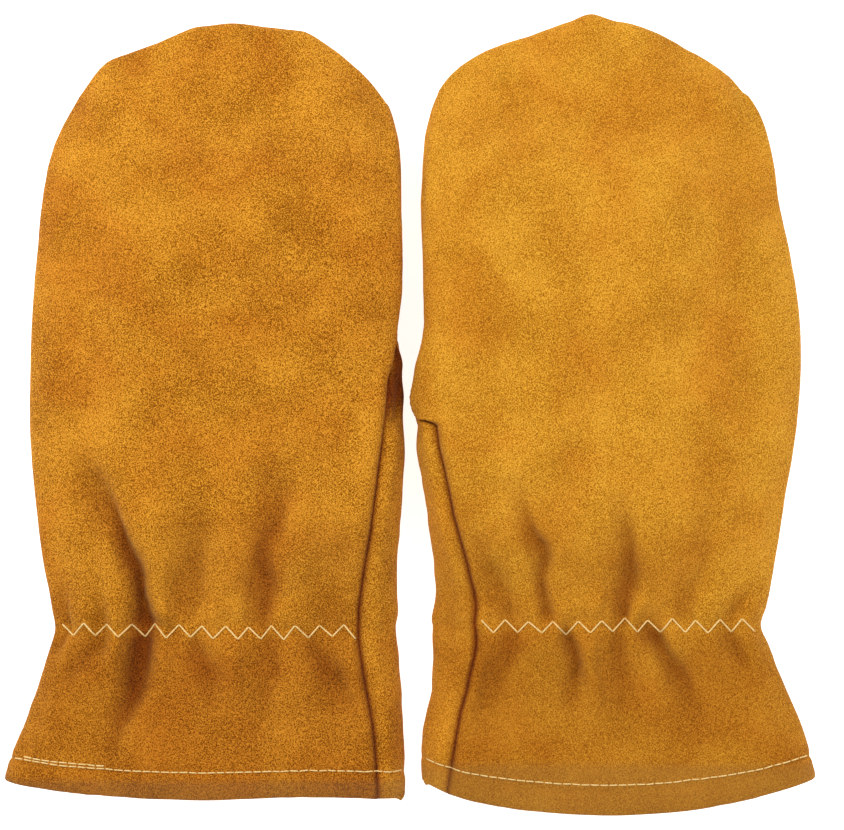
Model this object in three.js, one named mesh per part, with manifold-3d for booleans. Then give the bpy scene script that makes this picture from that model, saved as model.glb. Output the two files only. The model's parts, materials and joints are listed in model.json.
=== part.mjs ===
// A pair of suede beekeeping mittens, lying palm down with their thumbs tucked underneath.
// Each mitten is a back panel and a palm panel sewn together, an elastic tape and its zigzag
// stitch at the wrist, a turned-in hem on the flared cuff, and a thumb sleeve under the palm.
// Millimetres, +X across the pair, +Y to the fingertips, +Z up from the surface they lie on.
import * as THREE from 'three';
import { mergeVertices } from 'three/addons/utils/BufferGeometryUtils.js';
import Module from 'manifold-3d';

const wasm = await Module();
wasm.setup();

// Materials' thicknesses and clearances
const LEATHER = 1.4;
const HEM_FOLD = 2.9;
const TAPE = 0.9;
const THREAD_RADIUS = 0.45;
const GAP = 0.3;
const INSIDE_GAP = 0.6;
const HEM_THREAD_GAP = 0.55;

// Stations along the mitten: the cuff hinge, the wrist stitch, the finger hinge, the tip's corners
const CUFF_FOLD_Y = -94;
const FINGER_FOLD_Y = 27;
const TIP_CORNER_Y = 118;
const HEM_DEPTH = 9;
const HEM_STITCH_DEPTH = 8;
const HEM_LIFT = 1.6;

// The thumb lies flat under the palm, which is raised over it
const THUMB_HALF_HEIGHT = 5.5;
const THUMB_ROUNDING = 11;
const THUMB_HOLE = 18;
const PALM_LIFT = 11.6;
const LIFT_FROM = -72;
const LIFT_FULL_FROM = -38;
const LIFT_FULL_TO = 88;
const LIFT_TO = 116;
const LIFT_FULL_WIDTH = 92;
const LIFT_WIDTH = 122;

// Half the mitten's height and the width of its rounded edge, at places along Y
const HALF_HEIGHTS = [[-150, 11.3], [-94, 11], [-60, 11.5], [0, 13], [60, 13], [150, 11.5]];
const ROUNDINGS = [[-150, 15], [-94, 15], [-40, 23], [150, 25]];

// Grid counts
const COLUMNS = 12;
const STRIP_COLUMNS = 3;
const CUFF_ROWS = 5;
const HAND_ROWS = 9;
const FINGER_ROWS = 8;
const THREAD_SIDES = 5;

// Outlines in plan. "outer" is the little-finger side and "inner" the thumb side; "seam" is
// where the palm panel, wrapped round the thumb side, meets the back panel.
const LEFT = {
  name: 'left',
  mirror: 1,
  outer: [[-152, -136.7], [-147.5, -123.6], [-142.3, -111.6], [-136.7, -94.4], [-133.2, -80],
    [-135.2, -65.3], [-138.9, -41.3], [-141.6, -11.4], [-141.9, 12.5], [-141.2, 42.4],
    [-138.9, 66.4], [-135.6, 90.3], [-131.1, 104.2], [-122.1, 120.2]],
  tip: [[-113.9, 130.7], [-97.4, 137.4], [-82.5, 144.2], [-69.4, 146.4], [-53.3, 144.6],
    [-37.6, 142.3], [-24.5, 132.2]],
  inner: [[-11.4, 119.9], [-5.4, 104.2], [-3.9, 87.3], [-3.2, 64.9], [-3.6, 42.4], [-5, 29.4],
    [-8, 15.5], [-8.8, 4.3], [-6.5, -3.9], [-3.9, -9.9], [-3.2, -18.1], [-3.9, -32.4],
    [-5.4, -50.3], [-5.8, -66], [-5.4, -83.2], [-5, -95.2], [-3.6, -108.6], [-2.4, -125.1],
    [-2.4, -143.1]],
  seam: [[-11.8, -142.7], [-12.9, -122.9], [-15.9, -103.4], [-18.5, -88.5], [-19.6, -78],
    [-16.6, -58.5], [-13.3, -32.4], [-11, -8], [-8.8, 4.3]],
  hem: [[-152, -136.7], [-131.1, -140.4], [-101.2, -142.7], [-73.1, -143.4], [-41.3, -142.3],
    [-2.4, -143.1]],
  zigzagY: -81.7,
  zigzagTurns: 26,
  thumbRoot: [-32, 0],
  thumbRootRadius: 29.5,
  thumbTip: [-33, 59],
  thumbTipRadius: 22.3,
};

const RIGHT = {
  name: 'right',
  mirror: -1,
  outer: [[151.7, -135.9], [149, -126.6], [144.6, -113.1], [136.7, -95.2], [131.4, -79],
    [133.7, -65.3], [138.2, -41.3], [142.7, -14.4], [145.3, 6.5], [145.7, 24.5], [144.2, 42.4],
    [141.2, 60.4], [137.8, 78.4], [134.1, 97.8], [126.2, 118]],
  tip: [[110.5, 132.2], [97.8, 139.7], [85.8, 144.9], [70.9, 149], [58.2, 146.4],
    [44.7, 140.8], [30.5, 137.1]],
  inner: [[13.3, 125.5], [8.4, 114.3], [5.4, 102.3], [4.3, 78.4], [4.3, 42.4], [5, 25.6],
    [6.2, 12.5], [6.5, 2.8], [5, -3.9], [3.2, -9.2], [3.2, -15.9], [5, -29.4], [7.3, -47.3],
    [9, -65], [8.8, -83.2], [8, -95.2], [5.8, -112.4], [3.9, -125.1], [4.3, -137.1]],
  seam: [[12.2, -141.9], [15.5, -122.9], [19.3, -103.4], [22.3, -88.5], [23, -78],
    [20, -62.3], [15.5, -38], [11.4, -18.1], [8.8, -5.4], [6.5, 2.8]],
  hem: [[151.7, -135.9], [128.8, -142.7], [104.5, -147.2], [78.4, -149], [48.4, -147.9],
    [22.3, -143.8], [4.3, -137.1]],
  zigzagY: -79.8,
  zigzagTurns: 25,
  thumbRoot: [30.5, 5],
  thumbRootRadius: 30,
  thumbTip: [35.5, 62.5],
  thumbTipRadius: 22.7,
};

const ZIGZAG_HALF_WIDTH = 2.5;

const HAND_SUEDE = { color: '#cd8726', roughness: 0.95, metalness: 0 };
const CUFF_SUEDE = { color: '#b0711f', roughness: 0.95, metalness: 0 };
const COTTON = { color: '#e8d19a', roughness: 0.8, metalness: 0 };
const RUBBER_TAPE = { color: '#e4ddcc', roughness: 0.85, metalness: 0 };

const lerp = THREE.MathUtils.lerp;
const smoothstep = THREE.MathUtils.smoothstep;

// ---- Lines in plan ----

function smoothLine(points, count) {
  const knots = points.map(([x, y]) => new THREE.Vector3(x, y, 0));
  return new THREE.CatmullRomCurve3(knots, false, 'centripetal').getPoints(count);
}

// Moves every point of a line sideways, into the mitten, along the line's own normal.
function insetLine(line, distance, mirror) {
  return line.map((point, i) => {
    const before = line[Math.max(i - 1, 0)];
    const after = line[Math.min(i + 1, line.length - 1)];
    const along = after.clone().sub(before).normalize();
    return new THREE.Vector3(
      point.x + along.y * mirror * distance,
      point.y - along.x * mirror * distance,
      0,
    );
  });
}

// The values of one axis where a line crosses a value of the other axis, in the line's order.
function crossings(line, axis, value, wanted) {
  const found = [];
  for (let i = 1; i < line.length; i += 1) {
    const a = line[i - 1];
    const b = line[i];
    if ((a[axis] - value) * (b[axis] - value) <= 0 && a[axis] !== b[axis]) {
      found.push(lerp(a[wanted], b[wanted], (value - a[axis]) / (b[axis] - a[axis])));
    }
  }
  return found;
}

function distanceToLine(line, x, y) {
  let best = Infinity;
  for (let i = 1; i < line.length; i += 1) {
    const a = line[i - 1];
    const dx = line[i].x - a.x;
    const dy = line[i].y - a.y;
    const along = ((x - a.x) * dx + (y - a.y) * dy) / (dx * dx + dy * dy);
    const t = THREE.MathUtils.clamp(along, 0, 1);
    best = Math.min(best, Math.hypot(x - a.x - t * dx, y - a.y - t * dy));
  }
  return best;
}

function interpolate(table, value) {
  for (let i = 1; i < table.length; i += 1) {
    if (value <= table[i][0]) {
      const t = (value - table[i - 1][0]) / (table[i][0] - table[i - 1][0]);
      return lerp(table[i - 1][1], table[i][1], smoothstep(t, 0, 1));
    }
  }
  return table[table.length - 1][1];
}

// A quarter of an ellipse: 0 at the very edge, 1 from the full width inwards.
function edgeRound(share) {
  const t = 1 - THREE.MathUtils.clamp(share, 0, 1);
  return Math.sqrt(1 - t * t);
}

// ---- The mitten's surface ----
// A place on it is (across, along, side): across runs 0 to 1 from the outer to the inner side,
// along runs 0 to 1 over the cuff, 1 to 2 over the hand and 2 to 3 over the fingers, and side
// is 1 on the back and -1 on the palm.

function mittenSurface(spec) {
  const outline = smoothLine([...spec.outer, ...spec.tip, ...spec.inner], 170);
  const seamLine = smoothLine(spec.seam, 40);
  const hemLine = smoothLine(spec.hem, 40);
  const outerHemY = spec.outer[0][1];
  const innerHemY = spec.inner[spec.inner.length - 1][1];
  const insetLines = new Map();

  function lineAt(inset) {
    if (!insetLines.has(inset)) {
      insetLines.set(inset, insetLine(outline, inset, spec.mirror));
    }
    return insetLines.get(inset);
  }

  function outerX(y, inset) {
    const line = lineAt(inset);
    const found = crossings(line, 'y', y, 'x');
    return y <= line[0].y ? line[0].x : found[0];
  }

  function innerX(y, inset) {
    const line = lineAt(inset);
    const last = line[line.length - 1];
    const found = crossings(line, 'y', y, 'x');
    return y <= last.y ? last.x : found[found.length - 1];
  }

  function hemBulge(across) {
    const x = lerp(outline[0].x, outline[outline.length - 1].x, across);
    const found = crossings(hemLine, 'x', x, 'y');
    const straight = lerp(outerHemY, innerHemY, across);
    return found.length > 0 ? found[0] - straight : 0;
  }

  function tipBulge(across, inset) {
    const x = lerp(outerX(TIP_CORNER_Y, inset), innerX(TIP_CORNER_Y, inset), across);
    const heights = crossings(lineAt(inset), 'x', x, 'y').filter((y) => y >= TIP_CORNER_Y - 1);
    return heights.length > 0 ? Math.max(0, Math.max(...heights) - TIP_CORNER_Y) : 0;
  }

  function plan(across, along, inset) {
    const cuff = Math.max(0, 1 - along);
    const fingers = Math.max(0, along - 2);
    const straight = lerp(CUFF_FOLD_Y, FINGER_FOLD_Y, THREE.MathUtils.clamp(along - 1, 0, 1));
    const tipwards = fingers * (TIP_CORNER_Y - FINGER_FOLD_Y);
    const outerY = straight + cuff * (outerHemY - CUFF_FOLD_Y) + tipwards;
    const innerY = straight + cuff * (innerHemY - CUFF_FOLD_Y) + tipwards;
    const x = lerp(outerX(outerY, inset), innerX(innerY, inset), across);
    const bulge = cuff * hemBulge(across) + fingers ** 1.6 * tipBulge(across, inset);
    return { x, y: lerp(outerY, innerY, across) + bulge };
  }

  function lift(x, y) {
    const overThumb = smoothstep(y, LIFT_FROM, LIFT_FULL_FROM)
      * (1 - smoothstep(y, LIFT_FULL_TO, LIFT_TO));
    const fromInner = Math.abs(x - innerX(Math.min(y, TIP_CORNER_Y), 0));
    const width = 1 - smoothstep(fromInner, LIFT_FULL_WIDTH, LIFT_WIDTH);
    const hem = 1 - smoothstep(y, outerHemY + 6, outerHemY + 18);
    return PALM_LIFT * overThumb * width + HEM_LIFT * hem;
  }

  function middle(x, y) {
    return lift(x, y) + interpolate(HALF_HEIGHTS, y);
  }

  function point(across, along, side, inset, edgeGap) {
    const { x, y } = plan(across, along, inset);
    const half = interpolate(HALF_HEIGHTS, y);
    const rounding = interpolate(ROUNDINGS, y);
    const depth = distanceToLine(outline, x, y) - inset;
    const rise = edgeGap + (half - edgeGap - inset) * edgeRound(depth / (rounding - inset));
    return new THREE.Vector3(x, y, middle(x, y) + side * rise);
  }

  // A point off the surface, outwards when distance is above zero.
  function offset(across, along, side, distance) {
    const step = 0.003;
    const here = point(across, along, side, 0, 0);
    const acrossWay = point(Math.min(across + step, 1), along, side, 0, 0)
      .sub(point(Math.max(across - step, 0), along, side, 0, 0));
    const alongWay = point(across, Math.min(along + step, 3), side, 0, 0)
      .sub(point(across, Math.max(along - step, 0), side, 0, 0));
    const normal = acrossWay.cross(alongWay).normalize();
    if (normal.z * side < 0) {
      normal.negate();
    }
    return here.addScaledVector(normal, distance);
  }

  // Where the seam lies across the mitten, at least a hand's-breadth of stitching from its edge.
  function seamAcross(along) {
    const cuff = Math.max(0, 1 - along);
    const y = lerp(CUFF_FOLD_Y, FINGER_FOLD_Y, Math.max(along - 1, 0))
      + cuff * (innerHemY - CUFF_FOLD_Y);
    const inner = innerX(y, 0);
    const width = Math.abs(inner - outerX(y, 0));
    const found = crossings(seamLine, 'y', y, 'x');
    const end = y < seamLine[0].y ? seamLine[0].x : inner;
    const seamX = found.length > 0 ? found[0] : end;
    const strip = Math.max(Math.abs(inner - seamX), 1.6);
    return 1 - strip / width;
  }

  function alongAtY(y) {
    return 1 + (y - CUFF_FOLD_Y) / (FINGER_FOLD_Y - CUFF_FOLD_Y);
  }

  return { plan, point, offset, middle, seamAcross, alongAtY, outerHemY };
}

// ---- Closed bodies ----

function bodyGeometry(positions, indices) {
  const raw = new THREE.BufferGeometry();
  raw.setAttribute('position', new THREE.Float32BufferAttribute(positions, 3));
  raw.setIndex(indices);
  return closedBody(raw);
}

// Joins equal vertices, drops empty triangles and turns the faces outwards.
function closedBody(raw) {
  raw.deleteAttribute('normal');
  raw.deleteAttribute('uv');
  const merged = mergeVertices(raw, 1e-3);
  const index = merged.getIndex();
  const at = (k) => new THREE.Vector3().fromBufferAttribute(merged.attributes.position, k);
  const kept = [];
  let volume = 0;
  for (let i = 0; i < index.count; i += 3) {
    const [a, b, c] = [index.getX(i), index.getX(i + 1), index.getX(i + 2)];
    if (a !== b && b !== c && c !== a) {
      kept.push(a, b, c);
      volume += at(a).dot(at(b).cross(at(c)));
    }
  }
  merged.setIndex(volume < 0 ? kept.reverse() : kept);
  return merged;
}

// A thick sheet from two grids of points, its face and its back, with four walls.
function thickSheet(columns, rows, face, back) {
  const positions = [];
  const indices = [];
  const stride = columns + 1;
  const layer = stride * (rows + 1);
  for (const grid of [face, back]) {
    for (let j = 0; j <= rows; j += 1) {
      for (let i = 0; i <= columns; i += 1) {
        positions.push(...grid(i, j).toArray());
      }
    }
  }
  const quad = (a, b, c, d) => indices.push(a, b, c, a, c, d);
  for (let j = 0; j < rows; j += 1) {
    for (let i = 0; i < columns; i += 1) {
      const k = j * stride + i;
      quad(k, k + 1, k + stride + 1, k + stride);
      quad(layer + k, layer + k + stride, layer + k + stride + 1, layer + k + 1);
    }
  }
  for (let i = 0; i < columns; i += 1) {
    const top = rows * stride + i;
    quad(i, layer + i, layer + i + 1, i + 1);
    quad(top, top + 1, layer + top + 1, layer + top);
  }
  for (let j = 0; j < rows; j += 1) {
    const k = j * stride;
    const m = k + columns;
    quad(k, k + stride, layer + k + stride, layer + k);
    quad(m, layer + m, layer + m + stride, m + stride);
  }
  return bodyGeometry(positions, indices);
}

// A thread along a route of points, as a prism of a few sides.
function threadGeometry(points, stepsPerSpan) {
  const corners = [];
  for (let i = 0; i < THREAD_SIDES; i += 1) {
    const angle = (2 * Math.PI * i) / THREAD_SIDES;
    corners.push(new THREE.Vector2(
      THREAD_RADIUS * Math.cos(angle),
      THREAD_RADIUS * Math.sin(angle),
    ));
  }
  const route = new THREE.CatmullRomCurve3(points, false, 'centripetal');
  const steps = (points.length - 1) * stepsPerSpan;
  const options = { steps, bevelEnabled: false, extrudePath: route };
  return closedBody(new THREE.ExtrudeGeometry(new THREE.Shape(corners), options));
}

function toManifold(geometry) {
  return new wasm.Manifold(new wasm.Mesh({
    numProp: 3,
    vertProperties: new Float32Array(geometry.attributes.position.array),
    triVerts: new Uint32Array(geometry.getIndex().array),
  }));
}

// Cuts an upright round hole through a body.
function cutHole(geometry, x, y, radius) {
  const tool = new THREE.CylinderGeometry(radius, radius, 60, 32);
  tool.rotateX(Math.PI / 2);
  tool.translate(x, y, 20);
  const mesh = toManifold(geometry).subtract(toManifold(closedBody(tool))).getMesh();
  return bodyGeometry(Array.from(mesh.vertProperties), Array.from(mesh.triVerts));
}

function piece(name, geometry, finish) {
  const mesh = new THREE.Mesh(geometry, new THREE.MeshStandardMaterial(finish));
  mesh.name = name;
  return mesh;
}

// Spacing from 0 to 1 that is close at both ends, or only at the start.
const closeAtEnds = (i, count) => 0.5 - 0.5 * Math.cos((Math.PI * i) / count);
const closeAtStart = (i, count) => 1 - Math.cos((0.5 * Math.PI * i) / count);
const closeAtEnd = (i, count) => Math.sin((0.5 * Math.PI * i) / count);
const even = (i, count) => i / count;

// The three stretches that bend at the cuff and finger folds, a narrow gap apart.
function stretches(surface) {
  const cuffGap = GAP / 2 / Math.abs(surface.outerHemY - CUFF_FOLD_Y);
  const handGap = GAP / 2 / (FINGER_FOLD_Y - CUFF_FOLD_Y);
  const fingerGap = GAP / 2 / (TIP_CORNER_Y - FINGER_FOLD_Y);
  const hemRow = HEM_DEPTH / Math.abs(surface.outerHemY - CUFF_FOLD_Y);
  return [
    { name: 'cuff', rows: CUFF_ROWS, from: 0, to: 1 - cuffGap, spacing: even, hemRow },
    { name: 'hand', rows: HAND_ROWS, from: 1 + handGap, to: 2 - handGap, spacing: even },
    { name: 'fingers', rows: FINGER_ROWS, from: 2 + fingerGap, to: 3, spacing: closeAtEnd },
  ];
}

// The cuff's second row ends the turned-in hem, where the leather is double.
function alongRow(stretch, j) {
  if (stretch.hemRow && j < 2) {
    return stretch.hemRow * j;
  }
  if (stretch.hemRow) {
    return lerp(stretch.hemRow * 1.08, stretch.to, (j - 2) / (stretch.rows - 2));
  }
  return lerp(stretch.from, stretch.to, stretch.spacing(j, stretch.rows));
}

function leatherAt(stretch, j) {
  return stretch.hemRow && j < 2 ? HEM_FOLD : LEATHER;
}

function backPanel(surface, stretch) {
  const isTip = stretch.name === 'fingers';
  const grid = (inside) => (i, j) => {
    const along = alongRow(stretch, j);
    const width = isTip ? 1 : surface.seamAcross(along) - GAP / 2 / 120;
    const across = width * closeAtEnds(i, COLUMNS);
    return surface.point(across, along, 1, inside ? leatherAt(stretch, j) : 0, GAP / 2);
  };
  return thickSheet(COLUMNS, stretch.rows, grid(false), grid(true));
}

// The palm panel runs under the hand and, on the cuff and hand, on round the thumb side.
function palmPanel(surface, stretch) {
  const isTip = stretch.name === 'fingers';
  const columns = isTip ? COLUMNS : COLUMNS + STRIP_COLUMNS;
  const grid = (inside) => (i, j) => {
    const along = alongRow(stretch, j);
    const inset = inside ? leatherAt(stretch, j) : 0;
    if (i <= COLUMNS) {
      const across = closeAtEnds(i, COLUMNS);
      const edgeGap = isTip ? GAP / 2 : (GAP / 2) * (1 - across);
      return surface.point(across, along, -1, inset, edgeGap);
    }
    const seam = surface.seamAcross(along) + GAP / 2 / 120;
    const strip = closeAtStart(i - COLUMNS, STRIP_COLUMNS);
    return surface.point(lerp(1, seam, strip), along, 1, inset, 0);
  };
  return thickSheet(columns, stretch.rows, grid(false), grid(true));
}

function elasticTape(surface, spec) {
  const rows = 1;
  const outside = LEATHER + INSIDE_GAP;
  const halfWidth = 4.2;
  const grid = (inset) => (i, j) => {
    const along = surface.alongAtY(spec.zigzagY + (j * 2 - 1) * halfWidth);
    const across = lerp(0.035, surface.seamAcross(along) - 0.03, closeAtEnds(i, COLUMNS));
    return surface.point(across, along, 1, inset, 0);
  };
  return thickSheet(COLUMNS, rows, grid(outside), grid(outside + TAPE));
}

function zigzagThread(surface, spec) {
  const points = [];
  const turns = spec.zigzagTurns;
  for (let k = 0; k <= turns; k += 1) {
    const y = spec.zigzagY + (k % 2 ? ZIGZAG_HALF_WIDTH : -ZIGZAG_HALF_WIDTH);
    const along = surface.alongAtY(y);
    const across = lerp(0.03, surface.seamAcross(along) - 0.012, k / turns);
    points.push(surface.offset(across, along, 1, GAP + THREAD_RADIUS));
  }
  return threadGeometry(points, 3);
}

// Once round the mouth of the cuff, over the back, round the thumb side and under the palm.
function hemThread(surface) {
  const along = HEM_STITCH_DEPTH / Math.abs(surface.outerHemY - CUFF_FOLD_Y);
  const spans = 28;
  const points = [];
  for (const side of [1, -1]) {
    for (let k = 1; k < spans; k += 1) {
      const share = closeAtEnds(k, spans);
      const across = side > 0 ? share : 1 - share;
      points.push(surface.offset(across, along, side, HEM_THREAD_GAP + THREAD_RADIUS));
    }
  }
  return threadGeometry(points, 1);
}

function seamThreadAlong(surface, placeAt, from, to, spans) {
  const points = [];
  for (let k = 0; k <= spans; k += 1) {
    points.push(placeAt(lerp(from, to, k / spans)));
  }
  return threadGeometry(points, 1);
}

const SEAM_THREAD_INSET = LEATHER + INSIDE_GAP + THREAD_RADIUS;
const CUFF_THREAD_INSET = HEM_FOLD + INSIDE_GAP + THREAD_RADIUS;
const FINGER_THREAD_INSET = SEAM_THREAD_INSET + 0.7;

// The side seams are sewn from inside, so their threads lie just inside the leather.
function sideThreads(surface, spec) {
  const outerAt = (inset) => (along) => {
    const { x, y } = surface.plan(0, along, inset);
    return new THREE.Vector3(x, y, surface.middle(x, y));
  };
  const innerAt = (inset) => (along) => (
    surface.offset(surface.seamAcross(along), along, 1, -inset));
  const runs = [
    ['outer_cuff', outerAt(CUFF_THREAD_INSET), 0.03, 0.975, 7],
    ['inner_cuff', innerAt(CUFF_THREAD_INSET), 0.03, 0.975, 7],
    ['outer_hand', outerAt(SEAM_THREAD_INSET), 1.012, 1.988, 12],
    ['inner_hand', innerAt(SEAM_THREAD_INSET), 1.012, 1.988, 16],
  ];
  return runs.map(([name, placeAt, from, to, spans]) => (
    piece(`${spec.name}_${name}_thread`, seamThreadAlong(surface, placeAt, from, to, spans), COTTON)
  ));
}

function fingerThread(surface, spec) {
  const points = [];
  const add = (across, along) => {
    const { x, y } = surface.plan(across, along, FINGER_THREAD_INSET);
    points.push(new THREE.Vector3(x, y, surface.middle(x, y)));
  };
  const sideSpans = 9;
  const tipSpans = 18;
  for (let k = 0; k < sideSpans; k += 1) {
    add(0, lerp(2.02, 3, k / sideSpans));
  }
  for (let k = 0; k <= tipSpans; k += 1) {
    add(k / tipSpans, 3);
  }
  for (let k = sideSpans - 1; k >= 0; k -= 1) {
    add(1, lerp(2.02, 3, k / sideSpans));
  }
  return piece(`${spec.name}_finger_thread`, threadGeometry(points, 1), COTTON);
}

// ---- The thumb sleeve ----
// Its outline is two circles and their common tangents, so an inset only shrinks the circles.

function thumbSurface(spec) {
  const root = new THREE.Vector2(...spec.thumbRoot);
  const tip = new THREE.Vector2(...spec.thumbTip);
  const axis = tip.clone().sub(root);
  const length = axis.length();
  axis.divideScalar(length);

  // How far a ray from the root's centre runs to the outline; angle 0 is along the axis.
  function reach(angle, inset) {
    const rootRadius = spec.thumbRootRadius - inset;
    const tipRadius = spec.thumbTipRadius - inset;
    const tangent = Math.acos((rootRadius - tipRadius) / length);
    const turn = Math.abs(angle);
    const corner = Math.atan2(
      tipRadius * Math.sin(tangent),
      length + tipRadius * Math.cos(tangent),
    );
    if (turn >= tangent) {
      return rootRadius;
    }
    if (turn >= corner) {
      return rootRadius / Math.cos(tangent - turn);
    }
    const sine = length * Math.sin(turn);
    return length * Math.cos(turn) + Math.sqrt(tipRadius * tipRadius - sine * sine);
  }

  function place(angle, radius) {
    const x = root.x + radius * (axis.x * Math.cos(angle) + axis.y * Math.sin(angle));
    const y = root.y + radius * (axis.y * Math.cos(angle) - axis.x * Math.sin(angle));
    return [x, y];
  }

  return { root, reach, place };
}

const THUMB_SPOKES = 36;
const THUMB_RING_DEPTHS = [9, 4, 1.2, 0];

// Spokes are close together towards the far tip and wide apart behind the root.
function spokeAngle(share) {
  return Math.PI * Math.sign(share) * Math.abs(share) ** 1.7;
}

function thumbPanel(thumb, side) {
  const hole = side > 0 ? THUMB_HOLE : 0;
  const grid = (inset) => (i, j) => {
    const angle = spokeAngle((2 * (i % THUMB_SPOKES)) / THUMB_SPOKES - 1);
    const reach = thumb.reach(angle, inset);
    const radius = j === 0 ? hole : reach - THUMB_RING_DEPTHS[j - 1];
    const share = (reach - radius) / (THUMB_ROUNDING - inset);
    const height = THUMB_HALF_HEIGHT - inset - GAP / 2;
    const [x, y] = thumb.place(angle, radius);
    return new THREE.Vector3(
      x,
      y,
      THUMB_HALF_HEIGHT + side * (GAP / 2 + height * edgeRound(share)),
    );
  };
  return thickSheet(THUMB_SPOKES, THUMB_RING_DEPTHS.length, grid(0), grid(LEATHER));
}

function thumbRing(thumb, z, radiusAt) {
  const points = [];
  for (let k = 0; k <= THUMB_SPOKES; k += 1) {
    const angle = spokeAngle(lerp(-0.98, 0.98, k / THUMB_SPOKES));
    const [x, y] = thumb.place(angle, radiusAt(angle));
    points.push(new THREE.Vector3(x, y, z));
  }
  return threadGeometry(points, 1);
}

function thumbPieces(spec) {
  const thumb = thumbSurface(spec);
  const seamRadius = (angle) => thumb.reach(angle, SEAM_THREAD_INSET);
  const baseRadius = () => THUMB_HOLE - GAP - THREAD_RADIUS;
  const baseHeight = 2 * THUMB_HALF_HEIGHT - LEATHER / 2;
  const ring = (name, geometry) => piece(`${spec.name}_${name}`, geometry, COTTON);
  return [
    piece(`${spec.name}_thumb_top`, thumbPanel(thumb, 1), HAND_SUEDE),
    piece(`${spec.name}_thumb_bottom`, thumbPanel(thumb, -1), HAND_SUEDE),
    ring('thumb_seam_thread', thumbRing(thumb, THUMB_HALF_HEIGHT, seamRadius)),
    ring('thumb_base_thread', thumbRing(thumb, baseHeight, baseRadius)),
  ];
}

// ---- The pair ----

function mitten(spec) {
  const group = new THREE.Group();
  const surface = mittenSurface(spec);
  for (const stretch of stretches(surface)) {
    const finish = stretch.name === 'cuff' ? CUFF_SUEDE : HAND_SUEDE;
    let palm = palmPanel(surface, stretch);
    if (stretch.name === 'hand') {
      palm = cutHole(palm, ...spec.thumbRoot, THUMB_HOLE);
    }
    group.add(piece(`${spec.name}_back_${stretch.name}`, backPanel(surface, stretch), finish));
    group.add(piece(`${spec.name}_palm_${stretch.name}`, palm, finish));
  }
  group.add(piece(`${spec.name}_elastic_tape`, elasticTape(surface, spec), RUBBER_TAPE));
  group.add(piece(`${spec.name}_zigzag_thread`, zigzagThread(surface, spec), COTTON));
  group.add(piece(`${spec.name}_hem_thread`, hemThread(surface), COTTON));
  group.add(...sideThreads(surface, spec));
  group.add(fingerThread(surface, spec));
  group.add(...thumbPieces(spec));
  return group;
}

const pair = new THREE.Group();
pair.add(mitten(LEFT));
pair.add(mitten(RIGHT));

// The origin is under the middle of the pair, on the surface that it lies on.
const box = new THREE.Box3().setFromObject(pair);
const centre = box.getCenter(new THREE.Vector3());
pair.position.set(-centre.x, -centre.y, -box.min.z);

export default pair;
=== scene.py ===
"""A pair of tan suede beekeeping mittens, lying palm down with their thumbs tucked under.

Each mitten is cut from split cowhide: a back panel from the fingertips to the cuff's hem, and a
palm panel that wraps round the thumb side to a seam on the back. Sizes are in millimetres until
a mesh is made, and all of them start from the CAD nodes.
"""

import json
import math

import bmesh
import bpy
import numpy as np
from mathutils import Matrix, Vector
from mathutils.bvhtree import BVHTree


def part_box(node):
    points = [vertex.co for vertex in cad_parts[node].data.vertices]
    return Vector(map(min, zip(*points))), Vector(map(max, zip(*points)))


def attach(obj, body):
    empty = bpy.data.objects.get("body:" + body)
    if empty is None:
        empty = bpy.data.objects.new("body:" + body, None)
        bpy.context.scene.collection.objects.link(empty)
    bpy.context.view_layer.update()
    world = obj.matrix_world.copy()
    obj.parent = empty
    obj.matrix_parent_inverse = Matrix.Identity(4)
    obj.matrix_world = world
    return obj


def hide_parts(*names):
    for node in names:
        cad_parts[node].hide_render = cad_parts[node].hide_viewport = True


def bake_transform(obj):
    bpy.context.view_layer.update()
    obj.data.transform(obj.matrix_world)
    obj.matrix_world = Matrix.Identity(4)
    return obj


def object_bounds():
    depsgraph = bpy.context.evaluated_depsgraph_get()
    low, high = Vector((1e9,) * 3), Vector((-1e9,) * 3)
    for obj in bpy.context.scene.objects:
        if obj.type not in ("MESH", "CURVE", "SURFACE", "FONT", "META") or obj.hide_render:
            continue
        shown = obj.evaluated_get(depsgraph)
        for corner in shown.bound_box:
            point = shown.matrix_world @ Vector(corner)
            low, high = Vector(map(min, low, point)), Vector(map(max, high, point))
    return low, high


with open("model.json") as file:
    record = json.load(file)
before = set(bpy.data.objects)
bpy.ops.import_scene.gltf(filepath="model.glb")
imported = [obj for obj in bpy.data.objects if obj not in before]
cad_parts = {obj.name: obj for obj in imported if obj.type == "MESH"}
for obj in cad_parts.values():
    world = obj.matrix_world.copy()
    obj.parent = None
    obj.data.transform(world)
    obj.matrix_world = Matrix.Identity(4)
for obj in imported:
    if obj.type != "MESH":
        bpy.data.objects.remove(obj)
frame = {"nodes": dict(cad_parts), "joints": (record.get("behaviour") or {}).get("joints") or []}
CAD_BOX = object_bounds()

MM = 0.001
SECTIONS = ("cuff", "hand", "fingers")

# Leather and thread, in millimetres. A seam's panels curl in where they meet, and stand proud
# behind the curl.
LEATHER = 1.25
ELASTIC_THICKNESS = 0.8
HEM_TURN = 9.0
HEM_STITCH_DEPTH = 8.0
STITCH_LENGTH = 3.4
ZIGZAG_STEP = 4.4
ZIGZAG_HALF_WIDTH = 2.4
THREAD_RADIUS = 0.3
THREAD_SIDES = 10
PLY_PITCH = 2.2
SEAM_CURL = 1.9
SEAM_CURL_REACH = 4.0
SEAM_PROUD = 0.9
SEAM_HALF_GAP = 0.03
FLOOR_GAP = 0.06
# How dark a seam's painted shade is where it hardly shows, from 0 to 1
FAINT_SEAM = 0.25

# How far in from its outline a mitten rounds off, how far below the top its tip starts, and how
# softly the rows take up the tip's bow
EDGE_ROUNDING = 23.0
CUFF_ROUNDING = 14.0
SHOULDER_DEPTH = 28.5
TIP_EASE = 1.6

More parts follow.
